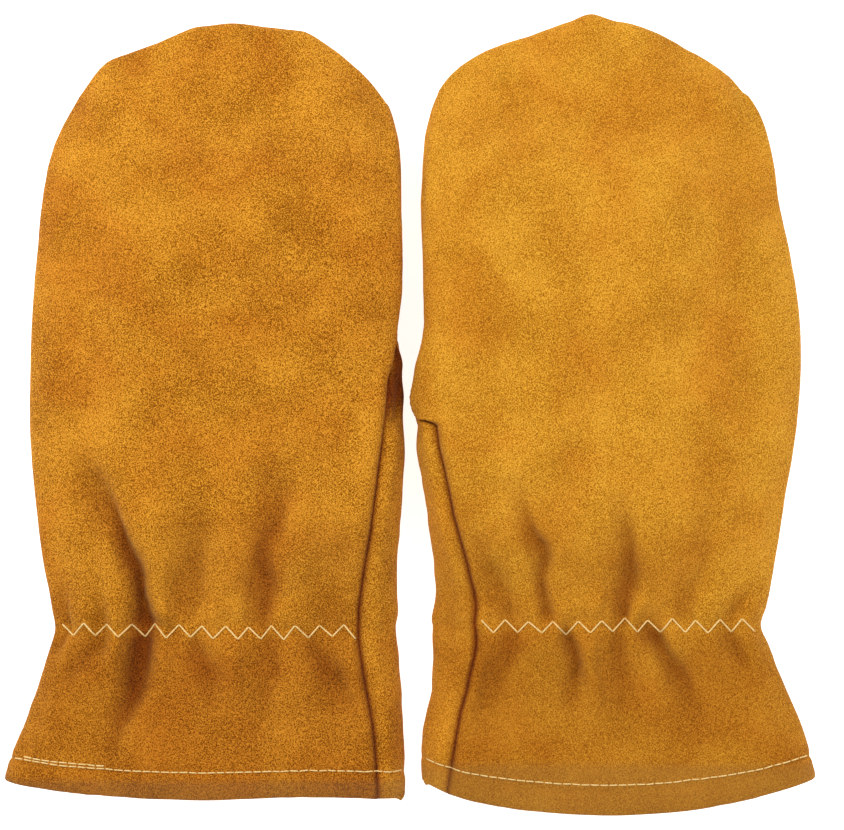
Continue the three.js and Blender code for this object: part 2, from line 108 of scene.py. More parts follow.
# The grids that the leather is made on, and the map of the mitten's middle height
PANEL_WIDTH = 130.0
GRID = 1.05
EDGE_COLUMNS = 13
STRIP_COLUMNS = 14
MAP_STEP = 3.0
HOLE_RIM = 0.75

# How far the soft leather stands out from its CAD outline, or in where it's below 0. Each point is
# a height along Y and that distance; the first list is the outer side, the second the thumb side.
SIDE_STAND = {
    "left": (
        [(130, 1.0), (112, 0.1), (-25, 0.5), (-48, 1.0), (-92, 0.9), (-115, 0.2), (-140, 0.6)],
        [(130, 1.1), (98, 1.0), (75, 0.5), (44, 0.0), (31, -0.2), (26, 0.6), (17, 3.8),
         (6.5, 5.6), (0, 4.7), (-5, 3.1), (-13, 1.1), (-25, 0.6), (-42, 1.1), (-74, 0.6),
         (-79, 1.1), (-85, 0.1), (-100, -0.9), (-115, 0.4), (-140, 0.6)],
    ),
    "right": (
        [(128, 1.6), (112, 3.0), (96, 1.9), (80, 1.1), (-30, 1.0), (-50, 1.9), (-68, 1.8),
         (-79, 0.4), (-90, 1.0), (-120, 0.9), (-140, 0.8)],
        [(130, 0.2), (105, -0.5), (60, -0.7), (33, -1.1), (27, -0.5), (22, 1.0), (17, 2.8),
         (6, 5.0), (1.5, 4.4), (-2, 1.9), (-15, 0.8), (-30, -0.7), (-55, -0.7), (-68, 0.5),
         (-73, 1.9), (-78.5, 4.2), (-84, 2.5), (-89, 1.1), (-104, -2.4), (-117, -1.0), (-140, -0.3)],
    ),
}
# The same for the tip. Each point is a place from 0 at the outer side to 1 at the thumb side.
TIP_STAND = {
    "left": [(0, 0), (0.05, 1.2), (0.1, 2.6), (0.15, 1.3), (0.35, 1.4), (0.6, 0.7), (0.75, 1.2),
             (0.93, 1.6), (1, 0)],
    "right": [(0, 0), (0.07, 1.8), (0.2, 0.5), (0.32, 1.1), (0.43, 0.6), (0.51, 2.1), (0.57, 1.0),
              (0.7, 0.3), (0.8, 0.9), (0.88, 0.4), (1, 0)],
}

# How much further out than in CAD the back's thumb-side seam lies, at heights along Y.
SEAM_STAND = {
    "left": [(-60, 0), (-28, 1.1), (-9, 1.8), (9, 2.2), (17, 1.7), (30, 0)],
    "right": [(-110, 0), (-92, -2.0), (-81, -3.0), (-68, -2.6), (-57, -2.0), (-38, 0)],
}

# Folds gathered at the wrist: depth, breadth and a line of points. A depth below 0 is a ridge.
# A point is measured from the middle of the wrist stitch: towards the thumb side, and up towards
# the fingertips.
FOLDS = {
    "left": [
        (5.0, 3.7, [(-53, 66), (-40.6, 44), (-34.3, 30), (-29.7, 19.5), (-27.8, 10), (-29.3, 0)]),
        (4.2, 3.4, [(-46, -51), (-37.5, -33), (-32.9, -22), (-30.7, -12), (-30, 0)]),
        (1.5, 2.4, [(-46, 18), (-45.2, 8), (-44, 0)]),
        (1.2, 2.0, [(-58, 20), (-59.8, 12), (-58.5, 0)]),
        (2.0, 3.0, [(-64, -23), (-52, -11), (-46, -5), (-44, 0)]),
        (1.2, 2.2, [(-67, -14), (-61, 0)]),
        (2.0, 5.6, [(-4, 58), (-7.6, 36), (-10.5, 18), (-12.6, 0)]),
        (2.3, 4.2, [(4, -34), (-3, -24), (-7.6, -12), (-9.6, 0)]),
        (2.6, 5.8, [(34, 68), (24, 52), (16.8, 36), (14.6, 18), (12, 0)]),
        (1.8, 3.8, [(16, -38), (17.4, -18), (16.2, 0)]),
        (2.2, 4.0, [(54, -34), (43, -22), (35, -9), (31, 0)]),
        (-1.6, 5.0, [(5, 52), (5.6, 30), (4.8, 6)]),
        (-1.8, 4.0, [(-22, 36), (-23.5, 18), (-23, 3)]),
        (-1.2, 4.0, [(-18, -36), (-20, -18), (-19, -4)]),
        (-1.2, 4.0, [(5, -40), (6, -20), (4, -4)]),
    ],
    "right": [
        (1.7, 4.6, [(50, 46), (42, 30), (36.4, 18), (32.4, 8), (30.5, 0)]),
        (3.4, 3.0, [(31.5, 58), (26.6, 43), (20.7, 30), (17.3, 18), (15.3, 9), (14, 0)]),
        (3.1, 3.1, [(-9, 56), (-12.0, 40), (-13.8, 26), (-14, 18), (-12.6, 10), (-9.6, 0)]),
        (1.6, 3.4, [(-44, 32), (-39, 18), (-35, 8), (-33.6, 0)]),
        (1.6, 2.4, [(-62, 17), (-54.7, 10), (-48, 0)]),
        (1.8, 4.0, [(46, -38), (38, -24), (32.4, -12), (28.4, 0)]),
        (3.0, 2.9, [(12, -36), (7, -24), (6.4, -14), (8.6, -4), (9, 0)]),
        (1.3, 3.2, [(-9, -38), (-11.6, -24), (-9.6, -11), (-6.5, 0)]),
        (2.8, 2.7, [(-41, -38), (-33.6, -21), (-28.2, -10), (-23.6, 0)]),
        (2.2, 2.6, [(-62, -20), (-53, -9), (-48, 0)]),
        (-1.5, 4.2, [(3, 46), (1, 24), (1, 4)]),
        (-1.2, 4.0, [(-22, 40), (-23, 20), (-22, 4)]),
        (-1.2, 3.8, [(-1, -36), (-1, -18), (0, -4)]),
    ],
}


# ---- Measuring the CAD nodes ----

def node_corners(name):
    """A node's corner points in millimetres and its edges."""
    mesh = frame["nodes"][name].data
    points = np.empty(len(mesh.vertices) * 3)
    mesh.vertices.foreach_get("co", points)
    edges = np.empty(len(mesh.edges) * 2, dtype=np.int64)
    mesh.edges.foreach_get("vertices", edges)
    return points.reshape(-1, 3) / MM, edges.reshape(-1, 2)


def extremes(names, axis, values, wanted):
    """Lowest and highest of one axis where the nodes' edges cross planes of another axis."""
    low = np.full(len(values), np.inf)
    high = np.full(len(values), -np.inf)
    for name in names:
        points, edges = node_corners(name)
        a, b = points[edges[:, 0]], points[edges[:, 1]]
        for k, value in enumerate(values):
            span = b[:, axis] - a[:, axis]
            hit = ((a[:, axis] - value) * (b[:, axis] - value) <= 0) & (np.abs(span) > 1e-6)
            if hit.any():
                t = (value - a[hit, axis]) / span[hit]
                found = a[hit, wanted] + t * (b[hit, wanted] - a[hit, wanted])
                low[k] = min(low[k], found.min())
                high[k] = max(high[k], found.max())
    met = np.isfinite(low)
    places = np.arange(len(values))
    return (np.interp(places, places[met], low[met]),
            np.interp(places, places[met], high[met]))


def node_tree(names):
    """A tree for casting rays at several nodes, in millimetres."""
    corners, faces = [], []
    for name in names:
        mesh = frame["nodes"][name].data
        start = len(corners)
        corners.extend(Vector(v.co) / MM for v in mesh.vertices)
        faces.extend([start + k for k in p.vertices] for p in mesh.polygons)
    return BVHTree.FromPolygons(corners, faces)


# ---- Small shapes and noises ----

def smooth_values(values, reach):
    """Values evened out along a line, with their ends held."""
    kernel = np.exp(-0.5 * (np.arange(-3 * reach, 3 * reach + 1) / reach) ** 2)
    kernel /= kernel.sum()
    padded = np.concatenate([
        2 * values[0] - values[1:3 * reach + 1][::-1],
        values,
        2 * values[-1] - values[-3 * reach - 1:-1][::-1],
    ])
    return np.convolve(padded, kernel, mode="valid")


def ease(value, start, end):
    """A smooth step: 0 up to start, and 1 from end on."""
    t = np.clip((value - start) / (end - start), 0, 1)
    return t * t * (3 - 2 * t)


def rumple(x, y, across, along, seed):
    """Smooth random hills, about 1 high; across and along are their sizes."""
    rows, columns = 96, 88
    grid = np.random.default_rng(seed).normal(size=(rows + 1, columns + 1))
    u, v = x / across + 31.0, y / along + 29.0
    i, j = np.floor(u).astype(int), np.floor(v).astype(int)
    fu, fv = u - i, v - j
    fu, fv = fu ** 3 * (fu * (fu * 6 - 15) + 10), fv ** 3 * (fv * (fv * 6 - 15) + 10)
    i, j = i % rows, j % columns
    near = grid[i, j] * (1 - fu) + grid[i + 1, j] * fu
    far = grid[i, j + 1] * (1 - fu) + grid[i + 1, j + 1] * fu
    return near * (1 - fv) + far * fv


def distance_to_line(points, line):
    """For many points in plan: the distance to a line, positive on the right of its way; how far
    along the line that is, from 0 to 1; and the way to the right there."""
    best = np.full(len(points), np.inf)
    signed = np.zeros(len(points))
    along = np.zeros(len(points))
    right = np.zeros((len(points), 2))
    done = 0.0
    for a, b in zip(line[:-1], line[1:]):
        step = b - a
        length = float(np.hypot(*step))
        t = np.clip(((points - a) @ step) / length ** 2, 0, 1)
        off = points - a - t[:, None] * step
        gap = np.hypot(*off.T)
        closer = gap < best
        aside = np.array([step[1], -step[0]]) / length
        best[closer] = gap[closer]
        signed[closer] = (gap * np.where(off @ aside < 0, -1, 1))[closer]
        along[closer] = done + t[closer] * length
        right[closer] = aside
        done += length
    return signed, along / done, right


# ---- A mitten's outline and heights ----

class Mitten:
    """What is measured from one mitten's CAD nodes, and the surface rebuilt from it."""

    def __init__(self, name, mirror):
        self.name = name
        self.mirror = mirror
        self.nodes = {
            (panel, section): f"{name}_{panel}_{section}"
            for panel in ("back", "palm") for section in SECTIONS
        }
        self.measure_outline()
        self.measure_heights()

    def node(self, part):
        return f"{self.name}_{part}"

    def measure_outline(self):
        """The sides, tip and hem in plan, and the heights along Y of the cut, knuckles and wrist."""
        every = list(self.nodes.values())
        corners = np.concatenate([node_corners(name)[0] for name in every])
        cuff = np.concatenate([
            node_corners(self.nodes[panel, "cuff"])[0] for panel in ("back", "palm")])
        outer_corner = cuff[np.argmin(cuff[:, 0] * self.mirror)]
        at_mouth = cuff[cuff[:, 1] < outer_corner[1] + 12]
        inner_x = (at_mouth[:, 0] * self.mirror).max()
        at_inner = at_mouth[at_mouth[:, 0] * self.mirror > inner_x - 0.8]
        inner_corner = at_inner[np.argmin(at_inner[:, 1])]
        self.top_y = corners[:, 1].max()
        self.shoulder_y = self.top_y - SHOULDER_DEPTH
        self.fold_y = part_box(self.node("back_fingers"))[0][1] / MM
        self.cut_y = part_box(self.node("back_hand"))[0][1] / MM
        self.hem_y = (outer_corner[1], inner_corner[1])
        self.side_y = [
            np.linspace(y + 0.05, self.shoulder_y, 260) for y in self.hem_y]
        self.side_x = []
        for side, ys in enumerate(self.side_y):
            low, high = extremes(every, 1, ys, 0)
            outwards = low if (side == 0) == (self.mirror > 0) else high
            heights, stands = np.array(SIDE_STAND[self.name][side], float)[::-1].T
            away = -self.mirror if side == 0 else self.mirror
            outwards = outwards + away * np.interp(ys, heights, stands)
            self.side_x.append(smooth_values(outwards, 2))
        ends = [x[-1] for x in self.side_x]
        self.tip_across = np.linspace(0, 1, 240)
        tip_x = ends[0] + (ends[1] - ends[0]) * self.tip_across
        tip_y = extremes(every, 0, tip_x, 1)[1]
        tip_y[0], tip_y[-1] = self.shoulder_y, self.shoulder_y
        tip_y = tip_y + np.interp(self.tip_across, *np.array(TIP_STAND[self.name], float).T)
        self.tip_rise = np.maximum(smooth_values(tip_y, 2) - self.shoulder_y, 0)
        self.tip_rise[0] = self.tip_rise[-1] = 0
        mouth = [x[0] for x in self.side_x]
        self.hem_across = np.linspace(0, 1, 120)
        hem_x = mouth[0] + (mouth[1] - mouth[0]) * self.hem_across
        hem_y = extremes([self.nodes["back", "cuff"], self.nodes["palm", "cuff"]], 0, hem_x, 1)[0]
        straight = self.hem_y[0] + (self.hem_y[1] - self.hem_y[0]) * self.hem_across
        self.hem_drop = smooth_values(np.minimum(hem_y - straight, 0), 4)
        self.hem_drop[0] = self.hem_drop[-1] = 0
        tip = np.column_stack([tip_x, self.shoulder_y + self.tip_rise])
        self.outline = np.concatenate([
            np.column_stack([self.side_x[0], self.side_y[0]])[::2],
            tip[2:-2:2],
            np.column_stack([self.side_x[1], self.side_y[1]])[::-1][::2],
        ])
        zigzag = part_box(self.node("zigzag_thread"))
        self.wrist_y = 0.5 * (zigzag[0][1] + zigzag[1][1]) / MM
        self.zigzag_x = (zigzag[0][0] / MM, zigzag[1][0] / MM)
        wrist = [np.interp(self.wrist_y, y, x) for y, x in zip(self.side_y, self.side_x)]
        self.wrist_x = 0.5 * (wrist[0] + wrist[1])
        self.measure_seam()

    def measure_seam(self):
        """Where the back panel ends on the thumb side, as the strip's width at places along Y."""
        ys = np.linspace(self.hem_y[1] + 0.5, self.fold_y - 1, 200)
        backs = [self.nodes["back", "cuff"], self.nodes["back", "hand"]]
        low, high = extremes(backs, 1, ys, 0)
        seam = high if self.mirror > 0 else low
        inner = np.interp(ys, self.side_y[1], self.side_x[1])
        width = np.clip(np.abs(inner - seam), 1.0, 16)
        self.strip_y = ys
        self.strip_width = smooth_values(width, 4)

    def measure_heights(self):
        """The middle height all over, and half the thickness along Y, from rays."""
        back = node_tree([self.nodes["back", section] for section in SECTIONS])
        palm = node_tree([self.nodes["palm", section] for section in SECTIONS])
        low, high = self.outline.min(axis=0), self.outline.max(axis=0)
        self.map_x = np.arange(low[0] - 3, high[0] + 6, MAP_STEP)
        self.map_y = np.arange(low[1] - 12, high[1] + 6, MAP_STEP)
        middle = np.zeros((len(self.map_x), len(self.map_y)))
        known = np.zeros_like(middle)
        half = np.zeros_like(middle)
        for i, x in enumerate(self.map_x):
            for j, y in enumerate(self.map_y):
                up = back.ray_cast(Vector((x, y, 200)), Vector((0, 0, -1)))[0]
                down = palm.ray_cast(Vector((x, y, -50)), Vector((0, 0, 1)))[0]
                if up and down and up.z - down.z > 15:
                    middle[i, j] = 0.5 * (up.z + down.z)
                    half[i, j] = 0.5 * (up.z - down.z)
                    known[i, j] = 1
        kernel = np.exp(-0.5 * (np.arange(-6, 7) / 1.8) ** 2)

        def blur(values):
            rows = np.apply_along_axis(np.convolve, 0, values, kernel, mode="same")
            return np.apply_along_axis(np.convolve, 1, rows, kernel, mode="same")

        self.middle = blur(middle * known) / np.maximum(blur(known), 1e-6)
        plateau = np.array([
            np.percentile(half[:, j][known[:, j] > 0], 85) if known[:, j].sum() > 4 else 0
            for j in range(len(self.map_y))])
        seen = plateau > 0
        self.half = smooth_values(np.interp(self.map_y, self.map_y[seen], plateau[seen]), 2)

    def middle_at(self, x, y):
        """The middle height at places in plan, evened out between the map's points."""
        u = np.clip((x - self.map_x[0]) / MAP_STEP, 0, len(self.map_x) - 1.001)
        v = np.clip((y - self.map_y[0]) / MAP_STEP, 0, len(self.map_y) - 1.001)
        i, j = u.astype(int), v.astype(int)
        fu, fv = u - i, v - j
        m = self.middle
        near = m[i, j] * (1 - fu) + m[i + 1, j] * fu
        far = m[i, j + 1] * (1 - fu) + m[i + 1, j + 1] * fu
        return near * (1 - fv) + far * fv

    def rows(self):
        """Marks of the rows that run across the mitten: 0 is the hem, 1 the cut, 2 the knuckles and
        3 the tip."""
        spans = [self.cut_y - self.hem_y[0], self.fold_y - self.cut_y, self.top_y - self.fold_y]
        round_share = EDGE_ROUNDING / spans[2]
        marks = []
        for k, span in enumerate(spans):
            if k < 2:
                marks.append(k + np.arange(0, 1, GRID / span))
            else:
                flat = np.arange(0, 1 - round_share, GRID / span)
                turn = np.linspace(0, math.pi / 2, EDGE_COLUMNS + 1)
                marks.append(k + np.concatenate([flat, 1 - round_share * (1 - np.sin(turn))]))
        return np.concatenate(marks)

    def plan(self, across, marks):
        """Where places on the mitten are in plan. across is 0 at the outer side and 1 at the thumb
        side. Rows bow with the hem and with the tip."""
        cuff = np.clip(1 - marks, 0, 1)
        fingers = np.clip(marks - 2, 0, 1)
        base = self.cut_y + np.clip(marks - 1, 0, 1) * (self.fold_y - self.cut_y)
        base = base + fingers * (self.shoulder_y - self.fold_y)
        outer_y = base + cuff * (self.hem_y[0] - self.cut_y)
        inner_y = base + cuff * (self.hem_y[1] - self.cut_y)
        outer_x = np.interp(outer_y, self.side_y[0], self.side_x[0])
        inner_x = np.interp(inner_y, self.side_y[1], self.side_x[1])
        x = outer_x * (1 - across) + inner_x * across
        y = outer_y * (1 - across) + inner_y * across
        y = y + cuff * np.interp(across, self.hem_across, self.hem_drop)
        y = y + fingers ** TIP_EASE * np.interp(across, self.tip_across, self.tip_rise)
        return x, y

    def seam_stand(self, y):
        """How much further out than in CAD the back's thumb-side seam lies at each height."""
        return np.interp(y, *np.array(SEAM_STAND[self.name], float).T)

    def seam_across(self, marks):
        """How far across the mitten the back panel reaches."""
        cuff = np.clip(1 - marks, 0, 1)
        y = self.cut_y + np.clip(marks - 1, 0, 1) * (self.fold_y - self.cut_y)
        y = y + cuff * (self.hem_y[1] - self.cut_y)
        outer = np.interp(y, self.side_y[0], self.side_x[0])
        inner = np.interp(y, self.side_y[1], self.side_x[1])
        strip = np.interp(y, self.strip_y, self.strip_width) - self.seam_stand(y)
        # The right back panel wraps over the thumb's root, so its strip stops short below it.
        strip = strip * (ease(2.02 - marks, 0, 0.2) if self.mirror > 0 else 1 - ease(y, -4.5, -1))
        return 1 - strip / np.abs(inner - outer)

    def mark_at(self, y):
        """The row mark of a height along Y on the hand, and just below the cut."""
        if y < self.cut_y:
            return 1 - (self.cut_y - y) / (self.cut_y - self.hem_y[0])
        return 1 + (y - self.cut_y) / (self.fold_y - self.cut_y)

    def surface(self, across, marks, side):
        """Points of the plain surface, before any fold, and which way it faces at each."""
        x, y = self.plan(across, marks)
        flat = np.column_stack([x.ravel(), y.ravel()])
        gap, _, right = distance_to_line(flat, self.outline)
        depth = np.abs(gap).reshape(x.shape)
        inwards = self.mirror * right.reshape(*x.shape, 2)
        full = ease(y, self.cut_y, -40) * (1 - ease(across, 0.4, 0.8)) + ease(y, 0, 60)
        rounding = CUFF_ROUNDING + (EDGE_ROUNDING - CUFF_ROUNDING) * np.clip(full, 0, 1)
        t = 1 - np.clip(depth / rounding, 0, 1)
        level = np.sqrt(np.maximum(1 - t * t, 0))
        half = np.interp(y, self.map_y, self.half)
        points = np.stack([x, y, self.middle_at(x, y) + side * half * level], axis=-1)
        lean = half * t / rounding
        facing = np.stack([-inwards[..., 0] * lean, -inwards[..., 1] * lean, side * level], axis=-1)
        return points, facing / np.linalg.norm(facing, axis=-1, keepdims=True)

    def fold_field(self, x, y):
        """How far the back's leather stands in (below 0) or out at each place, by its folds."""
        towards = (x - self.wrist_x) * self.mirror
        up = y - self.wrist_y
        places = np.column_stack([towards.ravel(), up.ravel()])
        # The folds wander a little off their lines.
        places[:, 0] += 1.3 * rumple(places[:, 0], places[:, 1], 9, 14, 11)
        total = np.zeros(len(places))
        for depth, breadth, line in FOLDS[self.name]:
            line = np.array(line, float)
            gap, along, _ = distance_to_line(places, line)
            way = 1 if line[-1][1] > line[0][1] else -1
            right = gap * way * self.mirror
            past = way * (places[:, 1] - line[-1][1])
            # It grows in depth and narrows towards the wrist, and fades just short of the stitches.
            kept = 1.15 * ease(along, -0.12, 0.66) * (1 - ease(past, -5, 2.5))
            breadth = breadth * (1.3 - 0.45 * along)
            # Its left bank is long and gentle, its right bank is short and steep, and the leather
            # it takes up stands as a brow on both sides.
            bank = np.where(right < 0, 1.45, 0.72) * breadth
            valley = 0.75 * np.exp(-(right / bank) ** 2) + 0.25 * np.exp(-np.abs(right) / bank)
            brow = 0.38 * np.exp(-((right - 2.0 * breadth) / (1.1 * breadth)) ** 2)
            brow += 0.16 * np.exp(-((right + 3.4 * breadth) / (1.7 * breadth)) ** 2)
            total -= depth * kept * (valley - brow)
        return total.reshape(x.shape)


# ---- Laying leather over a grid ----

def grid_normals(points, facing):
    """Normals of a grid of points. Where the grid closes up in a corner, facing stands in."""
    along = np.gradient(points, axis=0)
    across = np.gradient(points, axis=1)
    normals = np.cross(across, along)
    normals /= np.maximum(np.linalg.norm(normals, axis=-1, keepdims=True), 1e-9)
    agree = (normals * facing).sum(axis=-1, keepdims=True)
    if np.median(agree) < 0:
        normals, agree = -normals, -agree
    trust = ease(agree, 0.1, 0.5)
    normals = trust * normals + (1 - trust) * facing
    return normals / np.linalg.norm(normals, axis=-1, keepdims=True)


def run_lengths(points, axis):
    """Distance along a grid's rows or columns from its first point."""
    steps = np.linalg.norm(np.diff(points, axis=axis), axis=-1)
    start = np.zeros_like(np.take(steps, [0], axis=axis))
    return np.concatenate([start, np.cumsum(steps, axis=axis)], axis=axis)


def grid_quads(points, start=0):
    """The numbers of a grid's corners, from start on, and its four-sided faces."""
    rows, columns = points.shape[:2]
    index = start + np.arange(rows * columns).reshape(rows, columns)
    quads = [index[:-1, :-1], index[:-1, 1:], index[1:, 1:], index[1:, :-1]]
    return index, np.stack(quads, axis=-1).reshape(-1, 4)


def leather_mesh(name, points, normals, attributes, thickness=LEATHER, walls=(True,) * 4):
    """A leather piece: the grid is its outside, and the inside lies its thickness below. walls
    says which of its four borders have a cut edge: first row, last row, first and last column."""
    outside = points.reshape(-1, 3)
    inside = (points - normals * thickness).reshape(-1, 3)
    index, quads = grid_quads(points)
    a, b, c = outside[quads[:, 0]], outside[quads[:, 1]], outside[quads[:, 3]]
    facing = (np.cross(b - a, c - a) * normals.reshape(-1, 3)[quads[:, 0]]).sum()
    if facing < 0:
        quads = quads[:, ::-1]
    count = len(outside)
    faces = [quads, quads[:, ::-1] + count]
    borders = [index[0], index[-1], index[:, 0], index[:, -1]]
    for shown, border in zip(walls, borders):
        if shown:
            faces.append(np.stack([
                border[:-1], border[1:], border[1:] + count, border[:-1] + count], axis=-1))
    values = {key: np.tile(value.ravel(), 2) for key, value in attributes.items()}
    piece = mesh_object(
        name, np.concatenate([outside, inside]), np.concatenate(faces).tolist(), values)
    piece.data.set_sharp_from_angle(angle=math.radians(60))
    return piece


def mesh_object(name, corners, faces, values=None):
    """A smooth-shaded object from corners in millimetres. It keeps where each corner lay at rest."""
    mesh = bpy.data.meshes.new(name)
    mesh.from_pydata((corners * MM).tolist(), [], faces)
    mesh.update()
    mesh.polygons.foreach_set("use_smooth", np.ones(len(mesh.polygons), dtype=bool))
    place = mesh.attributes.new("place", "FLOAT_VECTOR", "POINT")
    place.data.foreach_set("vector", corners.astype(np.float32).ravel())
    for key, value in (values or {}).items():
        attribute = mesh.attributes.new(key, "FLOAT", "POINT")
        attribute.data.foreach_set("value", value.astype(np.float32))
    made = bpy.data.objects.new(name, mesh)
    bpy.context.scene.collection.objects.link(made)
    return made


def from_seams(points):
    """How far each place of a panel is from its nearest side or tip seam."""
    across = run_lengths(points, 1)
    along = run_lengths(points, 0)
    return np.minimum.reduce([across, across[:, -1:] - across, along[-1:] - along])


def curl_edges(points, normals, from_seam, kept=1.0):
    """Turns the leather in along its seams, so that two panels meet in a rolled crease. Behind the
    turn it stands a little proud, pushed out by the seam allowance folded inside."""
    turned = SEAM_CURL * np.clip(1 - from_seam / SEAM_CURL_REACH, 0, 1) ** 2
    proud = SEAM_PROUD * np.exp(-((from_seam - SEAM_CURL_REACH) / 3.2) ** 2)
    return points + normals * ((proud - turned) * kept)[..., None]


def across_spacing():
    """Places from 0 to 1 across a panel, close together where its sides turn down."""
    share = EDGE_ROUNDING / PANEL_WIDTH
    turn = np.linspace(0, math.pi / 2, EDGE_COLUMNS + 1)
    first = share * (1 - np.cos(turn))
    middle = np.linspace(share, 1 - share, int((PANEL_WIDTH - 2 * EDGE_ROUNDING) / GRID) + 1)
    return np.concatenate([first[:-1], middle, (1 - first[:-1])[::-1]])


def relief(mitten, points, side):
    """How far the leather stands out from the plain surface, all over, and the painted shade in its
    folds.
    """
    x, y = points[..., 0], points[..., 1]
    up = y - mitten.wrist_y
    seed = 100 if mitten.name == "left" else 200
    seed += 0 if side > 0 else 50
    # Narrow puckers by the stitches, and broad ripples that reach further
    pucker = 0.6 * np.exp(-np.abs(up) / 17) * rumple(x, up, 4.6, 26, seed + 1)
    pucker = pucker + 1.3 * np.exp(-np.abs(up) / 36) * rumple(x, up, 10, 50, seed + 5)
    # Slack leather away from the wrist, fine unevenness all over, and the elastic's pull
    soft = 0.9 * rumple(x, y, 42, 48, seed + 2) + 0.35 * rumple(x, y, 15, 19, seed + 3)
    fine = 0.10 * rumple(x, y, 4.0, 4.6, seed + 4)
    waist = -1.5 * np.exp(-(up / 4.6) ** 2)
    stand = pucker + soft * ease(np.abs(up), 0, 24) + fine + waist
    folds = mitten.fold_field(x, y) if side > 0 else np.zeros_like(x)
    # Deep folds and puckers get painted shade, darker the deeper they are.
    return stand + folds, 0.8 * np.clip(-(folds + 0.6 * pucker) / 4.4, 0, 1)


def thumb_print(mitten, x, y):
    """The thumb tucked underneath lifts the back a little, with a soft rim round it. The thumb's
    rim is kept as its reach from its middle in 24 ways."""
    hull, _ = node_corners(mitten.node("thumb_bottom"))
    centre = hull[:, :2].mean(axis=0)
    angles = np.arctan2(hull[:, 1] - centre[1], hull[:, 0] - centre[0])
    radii = np.hypot(hull[:, 0] - centre[0], hull[:, 1] - centre[1])
    slots = np.linspace(-math.pi, math.pi, 25)
    half_slot = 0.26
    near = [radii[np.abs(angles - slot) < half_slot] for slot in slots]
    rim = np.array([some.max() if len(some) else 0 for some in near])
    rim[0] = rim[-1] = max(rim[0], rim[-1])
    angle = np.arctan2(y - centre[1], x - centre[0])
    gap = np.hypot(x - centre[0], y - centre[1]) - np.interp(angle, slots, rim)
    return 1.1 * (1 - ease(gap, -9, 7)) + 0.5 * np.exp(-((gap + 3) / 5) ** 2)


def shades(mitten, panel, points, valley):
    """What the suede needs to know at each place: its painted shade in folds and seams, and how far into
    the cuff. The cuff is darker, partly the leather's own tone and partly painted shade, and the palm's
    darkens less."""
    up = points[..., 1] - mitten.wrist_y
    # The cuff's darkening is partly the leather's own tone and partly painted shade.
    cuff = 0.22 * (1 - ease(up, 4, 70)) + 0.78 * (1 - ease(up, -5, 4))
    cuff = cuff * (1.0 if panel == "back" else 0.15)
    hem = 1 - ease(points[..., 1] - mitten.hem_y[1] + 3, 7, 11)
    return {"valley": valley, "cuff": cuff, "hem": hem}


def sewn_panel(mitten, plain, points, normals, facing):
    """A panel with its edges curled into its seams, less so near the hem, and its new normals."""
    kept = 0.12 + 0.88 * ease(from_hem(mitten, plain[..., 0], plain[..., 1]), 0, 12)
    points = curl_edges(points, normals, from_seams(points), kept)
    return points, grid_normals(points, facing)


def back_grid(mitten):
    """The back panel's row marks, points, normals and painted shade in its folds and seams."""
    marks = mitten.rows()
    seam = mitten.seam_across(marks) - SEAM_HALF_GAP / PANEL_WIDTH
    across = across_spacing()[None, :] * seam[:, None]
    plain, facing = mitten.surface(across, np.broadcast_to(marks[:, None], across.shape), 1)
    normals = grid_normals(plain, facing)
    stand, valley = relief(mitten, plain, 1)
    stand = stand + thumb_print(mitten, plain[..., 0], plain[..., 1])
    edge = from_seams(plain)
    stand = stand * ease(edge, 0, 7) + hem_groove(mitten, plain) * (0.3 + 0.7 * ease(edge, 0, 8))
    points, normals = sewn_panel(
        mitten, plain, plain + normals * stand[..., None], normals, facing)
    faint = np.full(len(marks), FAINT_SEAM)
    valley = seam_shade(points, valley, faint, crease_strength(mitten, marks))
    return marks, points, normals, valley


def palm_grid(mitten):
    """The same for the palm panel. Its first columns are the strip that lies on top."""
    marks = mitten.rows()
    seam = mitten.seam_across(marks) + SEAM_HALF_GAP / PANEL_WIDTH
    strip = 1 - (1 - np.linspace(0, 1, STRIP_COLUMNS + 1)) ** 1.8
    top = seam[:, None] + (1 - seam[:, None]) * strip[None, :]
    under = across_spacing()[::-1]
    under = np.broadcast_to(under, (len(marks), len(under)))
    over, over_facing = mitten.surface(top, np.broadcast_to(marks[:, None], top.shape), 1)
    below, below_facing = mitten.surface(under, np.broadcast_to(marks[:, None], under.shape), -1)
    if mitten.mirror > 0:
        over, in_shade = thumb_side_drop(over)
        # The palm was cut a little longer than the back, and shows below its hem on the outer side.
        longer = (1 - ease(marks, 0, 0.4))[:, None] * (1 - ease(under, 0.5, 0.68))
        below[..., 1] -= 2.0 * longer * ease(under, 0, 0.05)
    plain = np.concatenate([over[:, :-1], below], axis=1)
    facing = np.concatenate([over_facing[:, :-1], below_facing], axis=1)
    normals = grid_normals(plain, facing)
    stand, valley = relief(mitten, plain, -1)
    # It is nearly flat where it lies on the floor, and never goes through it.
    clear = ease(plain[..., 2], 1.2, 5)
    groove = hem_groove(mitten, plain) * (0.3 + 0.7 * np.abs(facing[..., 2]))
    stand = stand * ease(from_seams(plain), 0, 6) * (0.15 + 0.85 * clear) + groove
    points = plain + normals * stand[..., None]
    points[..., 2] = np.maximum(points[..., 2], FLOOR_GAP)
    points, normals = sewn_panel(mitten, plain, points, normals, facing)
    faint = np.full(len(marks), FAINT_SEAM)
    valley = seam_shade(points, valley, crease_strength(mitten, marks), faint)
    if mitten.mirror > 0:
        valley[:, :STRIP_COLUMNS] = np.maximum(valley[:, :STRIP_COLUMNS], in_shade)
    return marks, points, normals, valley


